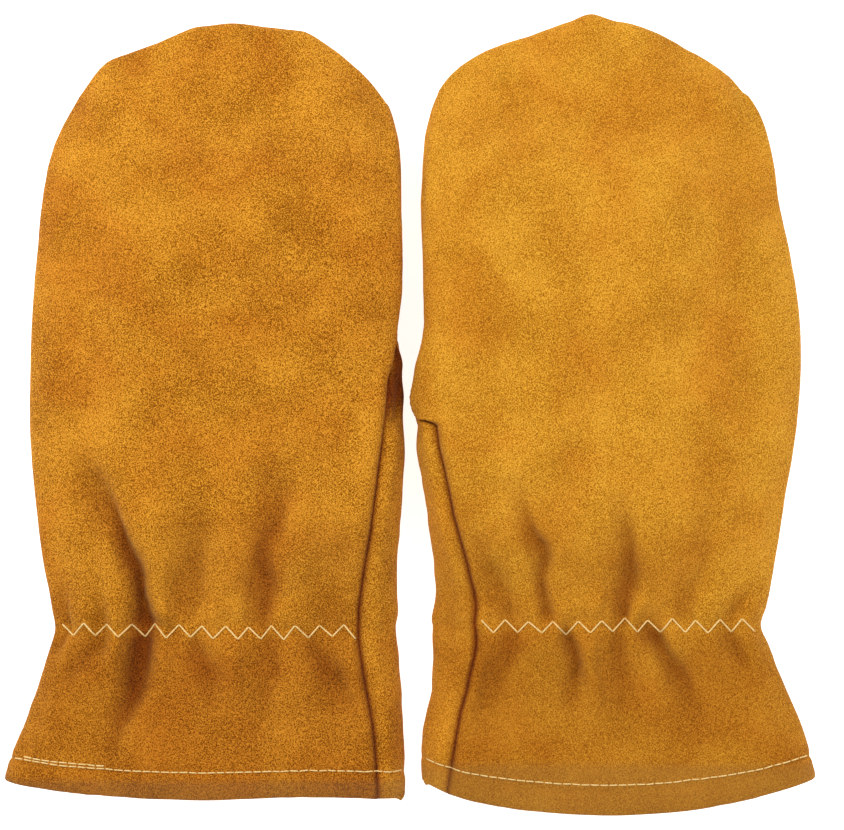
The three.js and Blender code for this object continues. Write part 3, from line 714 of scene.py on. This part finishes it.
def seam_shade(points, valley, first, last):
    """Painted shade along the seams, so the suede is darker there. first and last are how dark the
    panel's two side seams are, row by row."""
    across = run_lengths(points, 1)
    dark = 0
    for strength, gap in ((first, across), (last, across[:, -1:] - across)):
        line = np.exp(-(gap / 1.1) ** 2) + 0.16 * np.exp(-(gap / 3.6) ** 2)
        dark = np.maximum(dark, strength[:, None] * np.minimum(line, 1))
    return np.maximum(valley, dark)


def crease_strength(mitten, marks):
    """The seam's painted shade is dark where the back's seam lies on top, and hardly shows where it's
    round the side.
    """
    on_top = ease(1 - mitten.seam_across(marks), 0.005, 0.03)
    return FAINT_SEAM + (1 - FAINT_SEAM) * on_top


def thumb_side_drop(over):
    """Beside the left thumb the palm's strip lies lower, in the shade of the back's edge. Gives
    the strip's points, and its darkness there without its last column."""
    y = over[..., 1]
    from_seam = run_lengths(over, 1)
    here = ease(y, -12, 2) * (1 - ease(y, 27, 33))
    above_side = over[..., 2] - over[:, -1:, 2]
    over = over.copy()
    over[..., 2] -= 0.62 * above_side * here * ease(from_seam, 0, 2.2)
    shade = 0.95 * ease(y, -8, 8) * ease(from_seam, 0, 0.8)
    return over, shade[:, :-1]


def from_hem(mitten, x, y):
    """How far each place is up from the cuff's hem."""
    across = np.clip((x - mitten.side_x[0][0]) / (mitten.side_x[1][0] - mitten.side_x[0][0]), 0, 1)
    straight = mitten.hem_y[0] + (mitten.hem_y[1] - mitten.hem_y[0]) * across
    return y - straight - np.interp(across, mitten.hem_across, mitten.hem_drop)


def hem_groove(mitten, points):
    """The stitch line presses a groove above the turned-in hem, which stands proud."""
    up = from_hem(mitten, points[..., 0], points[..., 1])
    groove = -0.75 * np.exp(-((up - HEM_STITCH_DEPTH) / 1.3) ** 2)
    proud = 0.5 * (1 - ease(up, 6.6, 8)) * ease(up, -1, 2)
    return groove + proud


def with_turned_hem(points, normals, valley):
    """Adds the leather that turns in at the mouth of the cuff and is sewn down inside. The first
    rows are the flap inside, and the next ones go round the mouth's edge."""
    rows = int(HEM_TURN / GRID)
    out = points[0] - points[2]
    out /= np.linalg.norm(out, axis=-1, keepdims=True)
    radius = LEATHER + 0.05
    flap_points, flap_normals, flap_valley = [], [], []
    for k in range(rows, 0, -1):
        flap_points.append(points[k] - normals[k] * 2 * radius)
        flap_normals.append(-normals[k])
        flap_valley.append(valley[k])
    for angle in np.linspace(math.pi, 0, 8)[1:-1]:
        way = math.cos(angle) * normals[0] + math.sin(angle) * out
        flap_points.append(points[0] + (way - normals[0]) * radius)
        flap_normals.append(way)
        flap_valley.append(valley[0])
    return (
        np.concatenate([np.array(flap_points), points]),
        np.concatenate([np.array(flap_normals), normals]),
        np.concatenate([np.array(flap_valley), valley]),
    )


# ---- Materials ----

def linear(hex_colour):
    """An sRGB hex colour as the linear values that a shader takes, with full alpha."""
    values = [int(hex_colour[k:k + 2], 16) / 255 for k in (1, 3, 5)]
    return [v / 12.92 if v <= 0.04045 else ((v + 0.055) / 1.055) ** 2.4 for v in values] + [1.0]


def add(tree, kind, links=(), values=(), **settings):
    """Adds a node to a tree. links are (input, node, output) and values are (input, value)."""
    node = tree.nodes.new(kind)
    for name, value in settings.items():
        setattr(node, name, value)
    for name, value in values:
        node.inputs[name].default_value = value
    for name, source, output in links:
        tree.links.new(source.outputs[output], node.inputs[name])
    return node


def new_material(name):
    """An empty material and its tree."""
    material = bpy.data.materials.new(name)
    material.use_nodes = True
    material.node_tree.nodes.clear()
    return material, material.node_tree


def noise(tree, place, scale, detail, roughness=0.5, distortion=0.0, output="Vector"):
    """Noise laid by a node's coordinates, with scale hills to one unit of them."""
    return add(tree, "ShaderNodeTexNoise", [("Vector", place, output)],
               [("Scale", scale), ("Detail", detail), ("Roughness", roughness),
                ("Distortion", distortion)])


def spread_out(tree, source, output, low, high):
    """What lies between low and high, spread over 0 to 1."""
    return add(tree, "ShaderNodeMapRange", [("Value", source, output)],
               [("From Min", low), ("From Max", high)])


def tones(tree, source, output, *stops):
    """A ramp of colours through stops, each a position and a hex colour."""
    node = add(tree, "ShaderNodeValToRGB", [("Fac", source, output)])
    elements = node.color_ramp.elements
    for k, (position, colour) in ((0, stops[0]), (1, stops[-1])):
        elements[k].position = position
        elements[k].color = linear(colour)
    for position, colour in stops[1:-1]:
        elements.new(position).color = linear(colour)
    return node


def tinted(tree, share, output, base, base_output, tint):
    """A colour multiplied by a tint, as far as a share says."""
    return add(tree, "ShaderNodeMix", [("Factor", share, output), ("A", base, base_output)],
               [("B", linear(tint))], data_type="RGBA", blend_type="MULTIPLY")


def end_material(tree, colour, output, height, height_output, strength, depth, values):
    """Gives a material its surface: a colour, bumped by a height."""
    bump = add(tree, "ShaderNodeBump", [("Height", height, height_output)],
               [("Strength", strength), ("Distance", depth)])
    shader = add(tree, "ShaderNodeBsdfPrincipled",
                 [("Base Color", colour, output), ("Normal", bump, "Normal")], values)
    add(tree, "ShaderNodeOutputMaterial", [("Surface", shader, "BSDF")])


def split_suede(name, light, tan, dark, fold, cuff_tone_and_shade, hem_brown, contrast):
    """Split cowhide suede: buffed flesh side, a short matte nap that lies in little strokes of lighter
    and darker tan, and cloudy dye. Deep folds and the seams get browner painted shade, and the cuff is
    darker, partly its own tone and partly painted shade."""
    material, tree = new_material(name)
    place = add(tree, "ShaderNodeAttribute", attribute_name="place")
    patches = noise(tree, place, 1 / 5, 1.0)
    # The nap's strokes are about 0.6 mm long and half as wide, and lie three ways in patches. Real
    # ones are finer and wouldn't show, so these are drawn coarser.
    for turn, low in ((0.35, None), (1.35, 0.44), (2.3, 0.53)):
        laid = add(tree, "ShaderNodeMapping", [("Vector", place, "Vector")],
                   [("Rotation", (0, 0, turn)), ("Scale", (3.6, 1.7, 2.6))])
        nap = noise(tree, laid, 1.0, 2.0, 0.6)
        if low is None:
            strokes = nap
            continue
        share = spread_out(tree, patches, "Fac", low, low + 0.06)
        strokes = add(tree, "ShaderNodeMix",
                      [("Factor", share, "Result"), ("A", strokes, 0), ("B", nap, 0)])
    fleck = noise(tree, place, 1 / 0.46, 2.0, 0.7)
    cloud = noise(tree, place, 1 / 21, 2.0, 0.45)
    mixed = add(tree, "ShaderNodeMath", [(0, strokes, 0), (1, fleck, "Fac")], operation="ADD")
    clouded = add(tree, "ShaderNodeMath", [(0, cloud, "Fac"), (2, mixed, 0)],
                  [(1, 0.24)], operation="MULTIPLY_ADD")
    spread = spread_out(tree, clouded, 0, 1.12 - contrast, 1.12 + contrast)
    colour = tones(tree, spread, "Result", (0.14, dark), (0.5, tan), (0.86, light))
    # The dye took redder in broad patches of the hide.
    dye = noise(tree, place, 1 / 34, 2.0, 0.5, 0.6)
    taken = spread_out(tree, dye, "Fac", 0.42, 0.66)
    last = tinted(tree, taken, "Result", colour, 0, "#F6E8DC")
    # The cuff's darkening is partly its own tone and partly painted shade; the folds' and seams'
    # darkening is painted shade.
    for attribute, tint in (("cuff", cuff_tone_and_shade), ("valley", fold)):
        shade = add(tree, "ShaderNodeAttribute", attribute_name=attribute)
        last = tinted(tree, shade, "Fac", last, 2, tint)
    # The hem is darker and browner.
    hem = add(tree, "ShaderNodeAttribute", attribute_name="hem")
    hem_browning = add(tree, "ShaderNodeMath", [(0, hem, "Fac")], [(1, 0.38)], operation="MULTIPLY")
    last = add(tree, "ShaderNodeMix", [("Factor", hem_browning, 0), ("A", last, 2)],
               [("B", linear(hem_brown))], data_type="RGBA")
    rise = add(tree, "ShaderNodeMath", [(0, mixed, 0)], [(1, 0.5)], operation="MULTIPLY")
    end_material(tree, last, 2, rise, 0, 0.8, 0.0006,
                 [("Roughness", 0.96), ("Specular IOR Level", 0.1), ("Sheen Weight", 0.15),
                  ("Sheen Roughness", 0.5), ("Sheen Tint", linear("#FFD79A"))])
    return material


def cotton_thread(name, light, dark, carried=False):
    """Spun cotton: matte, cream, with the fibres' slight unevenness along each ply. A thread
    carried over from CAD has no place attribute, so its pattern lies by its own metres."""
    material, tree = new_material(name)
    if carried:
        fibre = noise(tree, add(tree, "ShaderNodeTexCoord"), 2.6 / MM, 3.0, output="Object")
    else:
        place = add(tree, "ShaderNodeAttribute", attribute_name="place")
        fibre = noise(tree, place, 2.6, 3.0)
    colour = tones(tree, fibre, "Fac", (0.3, dark), (0.62, light))
    end_material(tree, colour, "Color", fibre, "Fac", 0.5, 0.0001,
                 [("Roughness", 0.85), ("Specular IOR Level", 0.2), ("Sheen Weight", 0.15)])
    return material


def woven_elastic(name):
    """Woven elastic tape: off-white cotton ribs 0.8 mm apart over rubber, dull and slightly soiled."""
    material, tree = new_material(name)
    place = add(tree, "ShaderNodeAttribute", attribute_name="place")
    # At scale 1 a wave's ribs are 0.31 mm apart.
    ribs = add(tree, "ShaderNodeTexWave", [("Vector", place, "Vector")],
               [("Scale", 0.31 / 0.8), ("Distortion", 0.6)], bands_direction="X")
    soil = noise(tree, place, 1 / 4, 3.0)
    colour = add(tree, "ShaderNodeMix", [("Factor", soil, "Fac")],
                 [("A", linear("#E4DCC6")), ("B", linear("#CFC4A6"))], data_type="RGBA")
    end_material(tree, colour, 2, ribs, "Fac", 0.6, 0.0002, [("Roughness", 0.9)])
    return material


# The right mitten's hide took the dye a little lighter and yellower than the left one's.
SUEDE = {
    "left": split_suede("left_tan_split_suede", "#E09D30", "#BE7A15", "#7C4602",
                        "#9C6848", "#E8DCD2", "#74502E", 0.165),
    "right": split_suede("right_tan_split_suede", "#E5A938", "#C9891C", "#945B0C",
                         "#9C6848", "#E0D4C6", "#8E622C", 0.21),
}
THREAD = cotton_thread("cream_cotton_thread", "#EFD594", "#D2A75A")
SEAM_THREAD = cotton_thread("seam_cotton_thread", "#E3C98E", "#BC9550", carried=True)
ELASTIC = woven_elastic("woven_elastic_tape")


# ---- The leather pieces ----

def finish_piece(piece, material, replaced):
    """Gives a piece its material, and hides the plain CAD nodes that it stands for."""
    piece.data.materials.append(material)
    if replaced:
        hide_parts(*replaced)
    return piece


def panel_pieces(mitten, panel, grid):
    """A panel as two pieces that meet under the wrist's zigzag: the cuff, and the hand with fingers."""
    marks, points, normals, valley = grid
    suede = SUEDE[mitten.name]
    wrist_row = int(np.argmin(np.abs(marks - mitten.mark_at(mitten.wrist_y))))

    below = slice(wrist_row + 1)
    cuff_points, cuff_normals, cuff_valley = with_turned_hem(
        points[below], normals[below], valley[below])
    cuff = leather_mesh(mitten.node(f"{panel}_cuff_leather"), cuff_points, cuff_normals,
                        shades(mitten, panel, cuff_points, cuff_valley))
    finish_piece(cuff, suede, [mitten.nodes[panel, "cuff"]])
    mitten.node("cuff")
    mitten.node("hand")
    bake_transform(cuff)

    rest = slice(wrist_row, None)
    hand = leather_mesh(mitten.node(f"{panel}_hand_leather"), points[rest], normals[rest],
                        shades(mitten, panel, points[rest], valley[rest]))
    if panel == "palm":
        open_thumb_hole(mitten, hand)
    finish_piece(hand, suede,
                 [mitten.nodes[panel, "hand"], mitten.nodes[panel, "fingers"]])
    mitten.node("hand")
    mitten.node("fingers")
    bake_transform(hand)
    return cuff, hand


def thumb_pivot(mitten):
    """The point that the thumb swings about."""
    joint = next(j for j in frame["joints"] if j["name"] == mitten.node("thumb_swing"))
    return np.array(joint["pos_m"]) / MM


def thumb_hole_radius(mitten):
    """The palm's round hole is a little wider than the thread that sews the thumb in."""
    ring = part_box(mitten.node("thumb_base_thread"))
    return 0.5 * (ring[1][0] - ring[0][0]) / MM + 0.3


def open_thumb_hole(mitten, piece):
    """Cuts the round hole in the palm that the thumb sleeve is sewn to."""
    pivot = thumb_pivot(mitten)
    radius = thumb_hole_radius(mitten)
    mesh = piece.data
    count = len(mesh.vertices)
    corners = np.empty(count * 3)
    mesh.vertices.foreach_get("co", corners)
    corners = corners.reshape(-1, 3) / MM
    # The inside's corners follow the outside's, so that each keeps its own partner.
    outside = corners[:count // 2]
    away = outside[:, :2] - pivot[:2]
    reach = np.hypot(away[:, 0], away[:, 1])
    low = outside[:, 2] < mitten.middle_at(outside[:, 0], outside[:, 1])
    rim = low & (np.abs(reach - radius) < HOLE_RIM)
    shift = away[rim] * (radius / reach[rim] - 1)[:, None]
    corners[np.nonzero(rim)[0], :2] += shift
    corners[np.nonzero(rim)[0] + count // 2, :2] += shift
    mesh.vertices.foreach_set("co", (corners * MM).ravel())
    work = bmesh.new()
    work.from_mesh(mesh)
    label = work.verts.layers.int.new("label")
    for k, vert in enumerate(work.verts):
        vert[label] = k
    gone = np.tile(low & (reach < radius - HOLE_RIM), 2)
    doomed = [vert for vert in work.verts if gone[vert[label]]]
    bmesh.ops.delete(work, geom=doomed, context="VERTS")
    # The hole's cut edge joins the leather's outside to its inside.
    left = {vert[label]: vert for vert in work.verts}
    for loop in [edge.link_loops[0] for edge in work.edges if edge.is_boundary]:
        a, b = loop.vert[label], loop.link_loop_next.vert[label]
        if max(a, b) < count // 2:
            work.faces.new([left[b], left[a], left[a + count // 2], left[b + count // 2]])
    work.verts.layers.int.remove(label)
    work.to_mesh(mesh)
    work.free()
    mesh.update()


# ---- Stitches ----

def strand(line, radius):
    """One stitch: a two-ply thread along a line of points, with its plies' twist as its shape."""
    line = np.array(line)
    ahead = np.gradient(line, axis=0)
    ahead /= np.linalg.norm(ahead, axis=1, keepdims=True)
    side = np.cross(ahead, np.array([0, 0, 1.0]))
    side /= np.maximum(np.linalg.norm(side, axis=1, keepdims=True), 1e-6)
    over = np.cross(side, ahead)
    gone = run_lengths(line, 0)
    angles = np.linspace(0, 2 * math.pi, THREAD_SIDES, endpoint=False)
    plies = 0.80 + 0.24 * np.abs(np.cos(angles[None, :] - (2 * math.pi * gone / PLY_PITCH)[:, None]))
    reach = radius * plies[..., None]
    rings = line[:, None] + reach * (
        np.cos(angles)[None, :, None] * side[:, None] + np.sin(angles)[None, :, None] * over[:, None])
    corners = rings.reshape(-1, 3)
    index = np.arange(len(corners)).reshape(len(line), THREAD_SIDES)
    wrapped = np.roll(index, -1, axis=1)
    faces = np.stack([index[:-1], wrapped[:-1], wrapped[1:], index[1:]], axis=-1).reshape(-1, 4)
    caps = [index[0, ::-1], index[-1]]
    return corners, faces, caps


def thread_object(name, strands):
    """Many stitches as one object."""
    corners, faces, start = [], [], 0
    for points, quads, caps in strands:
        corners.append(points)
        faces.extend((quads + start).tolist())
        faces.extend([(cap + start).tolist() for cap in caps])
        start += len(points)
    return mesh_object(name, np.concatenate(corners), faces)


def surface_tree(*grids):
    """A tree for finding the finished leather's outside under a stitch."""
    corners, faces = [], []
    for points in grids:
        faces.extend(grid_quads(points, len(corners))[1].tolist())
        corners.extend(map(Vector, points.reshape(-1, 3).tolist()))
    return BVHTree.FromPolygons(corners, faces)


def stitch_line(tree, start, end, from_above=True, steps=18, hidden=0.12):
    """A stitch's line between two needle holes. It lies on the leather, and dives in at each hole,
    where hidden is the share of its length that the nap covers."""
    ray = Vector((0, 0, -1 if from_above else 1))
    away = -ray.z
    line = []
    for t in np.linspace(0, 1, steps):
        x, y = start[0] + (end[0] - start[0]) * t, start[1] + (end[1] - start[1]) * t
        hit = tree.ray_cast(Vector((x, y, 200 * away)), ray)[0]
        if hit is None:
            return None
        lift = -1.6 + 2.3 * float(ease(min(t, 1 - t), hidden - 0.1, hidden + 0.1))
        line.append((x, y, hit.z + away * lift * THREAD_RADIUS))
    line = np.array(line)
    line[1:-1, 2] = 0.25 * line[:-2, 2] + 0.5 * line[1:-1, 2] + 0.25 * line[2:, 2]
    return line


def zigzag_stitches(mitten, tree):
    """The wrist's zigzag, sewn through the gathered back on to the elastic inside."""
    dice = np.random.default_rng(7 if mitten.name == "left" else 8)
    low, high = mitten.zigzag_x
    # Its thumb-side end stays beside the seam.
    if mitten.mirror > 0:
        high += mitten.seam_stand(mitten.wrist_y)
    else:
        low -= mitten.seam_stand(mitten.wrist_y)
    steps = int(round((high - low) / ZIGZAG_STEP))
    xs = np.linspace(low, high, steps + 1) + dice.normal(0, 0.28, steps + 1)
    wave = 0.5 * rumple(xs, xs * 0, 30, 30, 5)
    ys = mitten.wrist_y + wave + ZIGZAG_HALF_WIDTH * (1 - 2 * (np.arange(steps + 1) % 2))
    ys += dice.normal(0, 0.22, steps + 1)
    strands = []
    for k in range(steps):
        line = stitch_line(tree, (xs[k], ys[k]), (xs[k + 1], ys[k + 1]), steps=22, hidden=0.05)
        if line is not None:
            strands.append(strand(line, THREAD_RADIUS * 1.05))
    piece = thread_object(mitten.node("zigzag_stitches"), strands)
    finish_piece(piece, THREAD, [mitten.node("zigzag_thread")])
    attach(piece, mitten.node("hand"))
    return piece


def hem_line(mitten, depth, inset):
    """Points along the hem's stitch line, from the outer side to the thumb side."""
    across = np.linspace(0, 1, 300)
    mark = depth / (mitten.cut_y - mitten.hem_y[0])
    x, y = mitten.plan(across, np.full_like(across, mark))
    keep = (np.abs(x - x[0]) > inset) & (np.abs(x - x[-1]) > inset)
    return np.column_stack([x, y])[keep]


def stitches_along(tree, line, length, dice, from_above):
    """Straight stitches of about one length, end to end along a line."""
    gone = run_lengths(line, 0)
    count = int(gone[-1] / length)
    holes = np.linspace(0, gone[-1], count + 1)
    holes[1:-1] += dice.normal(0, 0.14, count - 1)
    xs, ys = np.interp(holes, gone, line[:, 0]), np.interp(holes, gone, line[:, 1])
    ys = ys + dice.normal(0, 0.08, len(ys))
    made = []
    for k in range(count):
        path = stitch_line(tree, (xs[k], ys[k]), (xs[k + 1], ys[k + 1]), from_above, 12)
        if path is not None:
            made.append(strand(path, THREAD_RADIUS * 0.92))
    return made


def hem_stitches(mitten, back_tree, palm_tree):
    """Straight stitches that hold the turned-in hem, all round the mouth of the cuff."""
    dice = np.random.default_rng(17 if mitten.name == "left" else 18)
    line = hem_line(mitten, HEM_STITCH_DEPTH, 1.2)
    made = stitches_along(back_tree, line, STITCH_LENGTH, dice, True)
    made += stitches_along(palm_tree, hem_line(mitten, HEM_STITCH_DEPTH, 4), STITCH_LENGTH,
                           dice, False)
    if mitten.name == "left":
        # The seam was started and finished here, so a second row lies over the first.
        doubled = line[np.abs(line[:, 0] - line[0, 0]) < 34] + np.array([0.6, 1.0])
        made += stitches_along(back_tree, doubled[6:], STITCH_LENGTH * 0.93, dice, True)
    piece = thread_object(mitten.node("hem_stitches"), made)
    finish_piece(piece, THREAD, [mitten.node("hem_thread")])
    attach(piece, mitten.node("cuff"))
    return piece


# ---- The elastic and the thumb ----

def elastic_piece(mitten, grid):
    """The tape lies against the inside of the gathered back, so it puckers as the leather does."""
    marks, points, normals, _ = grid
    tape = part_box(mitten.node("elastic_tape"))
    y = points[:, points.shape[1] // 2, 1] * MM
    margin = 0.6 * GRID * MM
    rows = (y > tape[0][1] - margin) & (y < tape[1][1] + margin)
    columns = slice(4, -4)
    under = points[rows][:, columns] - normals[rows][:, columns] * (LEATHER + 0.35)
    piece = leather_mesh(mitten.node("elastic"), under, normals[rows][:, columns], {}, ELASTIC_THICKNESS)
    finish_piece(piece, ELASTIC, [mitten.node("elastic_tape")])
    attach(piece, mitten.node("hand"))
    return piece


def convex_outline(points):
    """The corners of the tight band round many points in plan, in order."""
    points = sorted(map(tuple, points))

    def half(run):
        kept = []
        for p in run:
            while len(kept) > 1 and (
                (kept[-1][0] - kept[-2][0]) * (p[1] - kept[-2][1])
                - (kept[-1][1] - kept[-2][1]) * (p[0] - kept[-2][0])
            ) <= 0:
                kept.pop()
            kept.append(p)
        return kept[:-1]

    return np.array(half(points) + half(points[::-1]))


def thumb_reach(mitten, angles):
    """How far the thumb sleeve's edge is from its pivot at each angle in plan."""
    pivot = thumb_pivot(mitten)[:2]
    band = convex_outline(node_corners(mitten.node("thumb_bottom"))[0][:, :2]) - pivot
    band = np.concatenate([band, band[:1]])
    reach = np.zeros(len(angles))
    for k, angle in enumerate(angles):
        way = np.array([math.cos(angle), math.sin(angle)])
        for a, b in zip(band[:-1], band[1:]):
            step = b - a
            bottom = way[0] * step[1] - way[1] * step[0]
            if abs(bottom) > 1e-9:
                far = (a[0] * step[1] - a[1] * step[0]) / bottom
                part = (a[0] * way[1] - a[1] * way[0]) / bottom
                if far > 0 and -1e-6 <= part <= 1 + 1e-6:
                    reach[k] = max(reach[k], far)
    return reach


def weld(piece):
    """Joins corners that lie in one place, as where a round grid closes."""
    work = bmesh.new()
    work.from_mesh(piece.data)
    bmesh.ops.remove_doubles(work, verts=work.verts, dist=0.02 * MM)
    work.to_mesh(piece.data)
    work.free()


def thumb_pieces(mitten):
    """The thumb sleeve: a top and a bottom leather sewn round their edge, and open into the palm."""
    pivot = thumb_pivot(mitten)
    low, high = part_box(mitten.node("thumb_bottom"))[0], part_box(mitten.node("thumb_top"))[1]
    half = 0.5 * (high[2] - low[2]) / MM
    angles = np.linspace(-math.pi, math.pi, 181)
    reach = thumb_reach(mitten, angles)
    reach = smooth_values(np.concatenate([reach[-31:-1], reach, reach[1:31]]), 3)[30:-30]
    hole = thumb_hole_radius(mitten)
    turn = np.sin(np.linspace(0, math.pi / 2, 30))
    made = []
    for side, part in ((1, "top"), (-1, "bottom")):
        inner = hole if side > 0 else 0.0
        radius = inner + (reach[None, :] - inner) * turn[:, None]
        depth = reach[None, :] - radius
        x = pivot[0] + radius * np.cos(angles)
        y = pivot[1] + radius * np.sin(angles)
        t = 1 - np.clip(depth / (2 * half), 0, 1)
        rise = (half - 0.1) * np.sqrt(np.maximum(1 - t * t, 0)) + 0.1
        seed = 300 + side + (10 if mitten.name == "left" else 20)
        pucker = 0.5 * rumple(radius * np.cos(angles), radius * np.sin(angles), 9, 11, seed)
        rise = rise + pucker * ease(depth, 0, 5) * (1 if side > 0 else 0.15) - 0.25
        points = np.stack([x, y, half + side * rise], axis=-1)
        points[..., 2] = np.maximum(points[..., 2], 0.08)
        if side > 0:
            collar = [points[0] + np.array([0, 0, h]) for h in (3.0, 2.2, 1.4, 0.7)]
            points = np.concatenate([np.array(collar), points])
        outwards = np.stack([np.cos(angles), np.sin(angles), 0 * angles + 0.4 * side], axis=-1)
        outwards = np.broadcast_to(outwards / math.hypot(1, 0.4), points.shape)
        normals = grid_normals(points, outwards)
        normals[:, 0] = normals[:, -1] = 0.5 * (normals[:, 0] + normals[:, -1])
        along = run_lengths(points, 0)
        points = curl_edges(points, normals, along[-1:] - along)
        shade = {key: np.zeros(points.shape[:2]) for key in ("valley", "cuff", "hem")}
        piece = leather_mesh(mitten.node(f"thumb_{part}_leather"), points, normals, shade,
                             walls=(side > 0, True, False, False))
        weld(piece)
        finish_piece(piece, SUEDE[mitten.name], [mitten.node(f"thumb_{part}")])
        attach(piece, mitten.node("thumb"))
        made.append(piece)
    return made


def carried_threads(mitten):
    """The seams' own threads lie inside the leather and keep their CAD shapes."""
    for part in ("outer_cuff", "inner_cuff", "outer_hand", "inner_hand", "finger", "thumb_seam",
                 "thumb_base"):
        node = frame["nodes"][mitten.node(f"{part}_thread")]
        node.data.materials.clear()
        node.data.materials.append(SEAM_THREAD)


def build(name, mirror):
    """One mitten. mirror is 1 where its thumb side is on the right, -1 where it's on the left."""
    mitten = Mitten(name, mirror)
    back = back_grid(mitten)
    palm = palm_grid(mitten)
    panel_pieces(mitten, "back", back)
    panel_pieces(mitten, "palm", palm)
    over = surface_tree(back[1], palm[1][:, :STRIP_COLUMNS + 4])
    under = surface_tree(palm[1])
    zigzag_stitches(mitten, over)
    hem_stitches(mitten, over, under)
    elastic_piece(mitten, back)
    thumb_pieces(mitten)
    carried_threads(mitten)


# ---- The stage ----

def pale_floor():
    """A plain white studio sweep."""
    bpy.ops.mesh.primitive_plane_add(size=6, location=(0, 0, -0.0004))
    floor = bpy.context.object
    floor.name = "studio_floor"
    material, tree = new_material("white_studio_paper")
    glow = add(tree, "ShaderNodeEmission", (), [("Color", linear("#FFFFFF")), ("Strength", 0.82)])
    paper = add(tree, "ShaderNodeBsdfDiffuse", (), [("Color", linear("#FFFFFF"))])
    both = add(tree, "ShaderNodeAddShader", [(0, glow, 0), (1, paper, 0)])
    add(tree, "ShaderNodeOutputMaterial", [("Surface", both, 0)])
    floor.data.materials.append(material)


def soft_light(name, place, size, power, colour):
    """A round light that faces the mittens."""
    light = bpy.data.lights.new(name, "AREA")
    light.shape = "DISK"
    light.size = size
    light.energy = power
    light.color = linear(colour)[:3]
    made = bpy.data.objects.new(name, light)
    made.location = place
    made.rotation_euler = (-Vector(place)).to_track_quat("-Z", "Y").to_euler()
    bpy.context.scene.collection.objects.link(made)


def studio():
    world = bpy.data.worlds.new("white_studio")
    bpy.context.scene.world = world
    world.use_nodes = True
    background = world.node_tree.nodes["Background"]
    background.inputs["Color"].default_value = linear("#FFFFFF")
    background.inputs["Strength"].default_value = 0.625
    soft_light("key_softbox", (-0.68, 0.6, 1.1), 0.6, 11.8, "#FFF9F0")
    soft_light("fill_softbox", (0.9, -0.1, 1.2), 1.2, 7.0, "#FFFCF6")


def overhead_camera():
    """Straight above the pair; the view is 316 mm wide at the height of the mittens' sides."""
    low, high = CAD_BOX
    camera = bpy.data.cameras.new("overhead_camera")
    camera.sensor_width = 36.0
    distance, side_height, view_width = 1.2, 0.020, 0.3158
    camera.lens = 36.0 * distance / view_width
    camera.clip_start = 0.05
    made = bpy.data.objects.new("overhead_camera", camera)
    across = 0.5 * (low[0] + high[0]) + 0.0046
    along = 0.5 * (low[1] + high[1]) - 0.0006
    made.location = (across, along, distance + side_height)
    bpy.context.scene.collection.objects.link(made)
    bpy.context.scene.camera = made


build("left", 1)
build("right", -1)
pale_floor()
studio()
overhead_camera()
bpy.context.scene.view_settings.view_transform = "Standard"
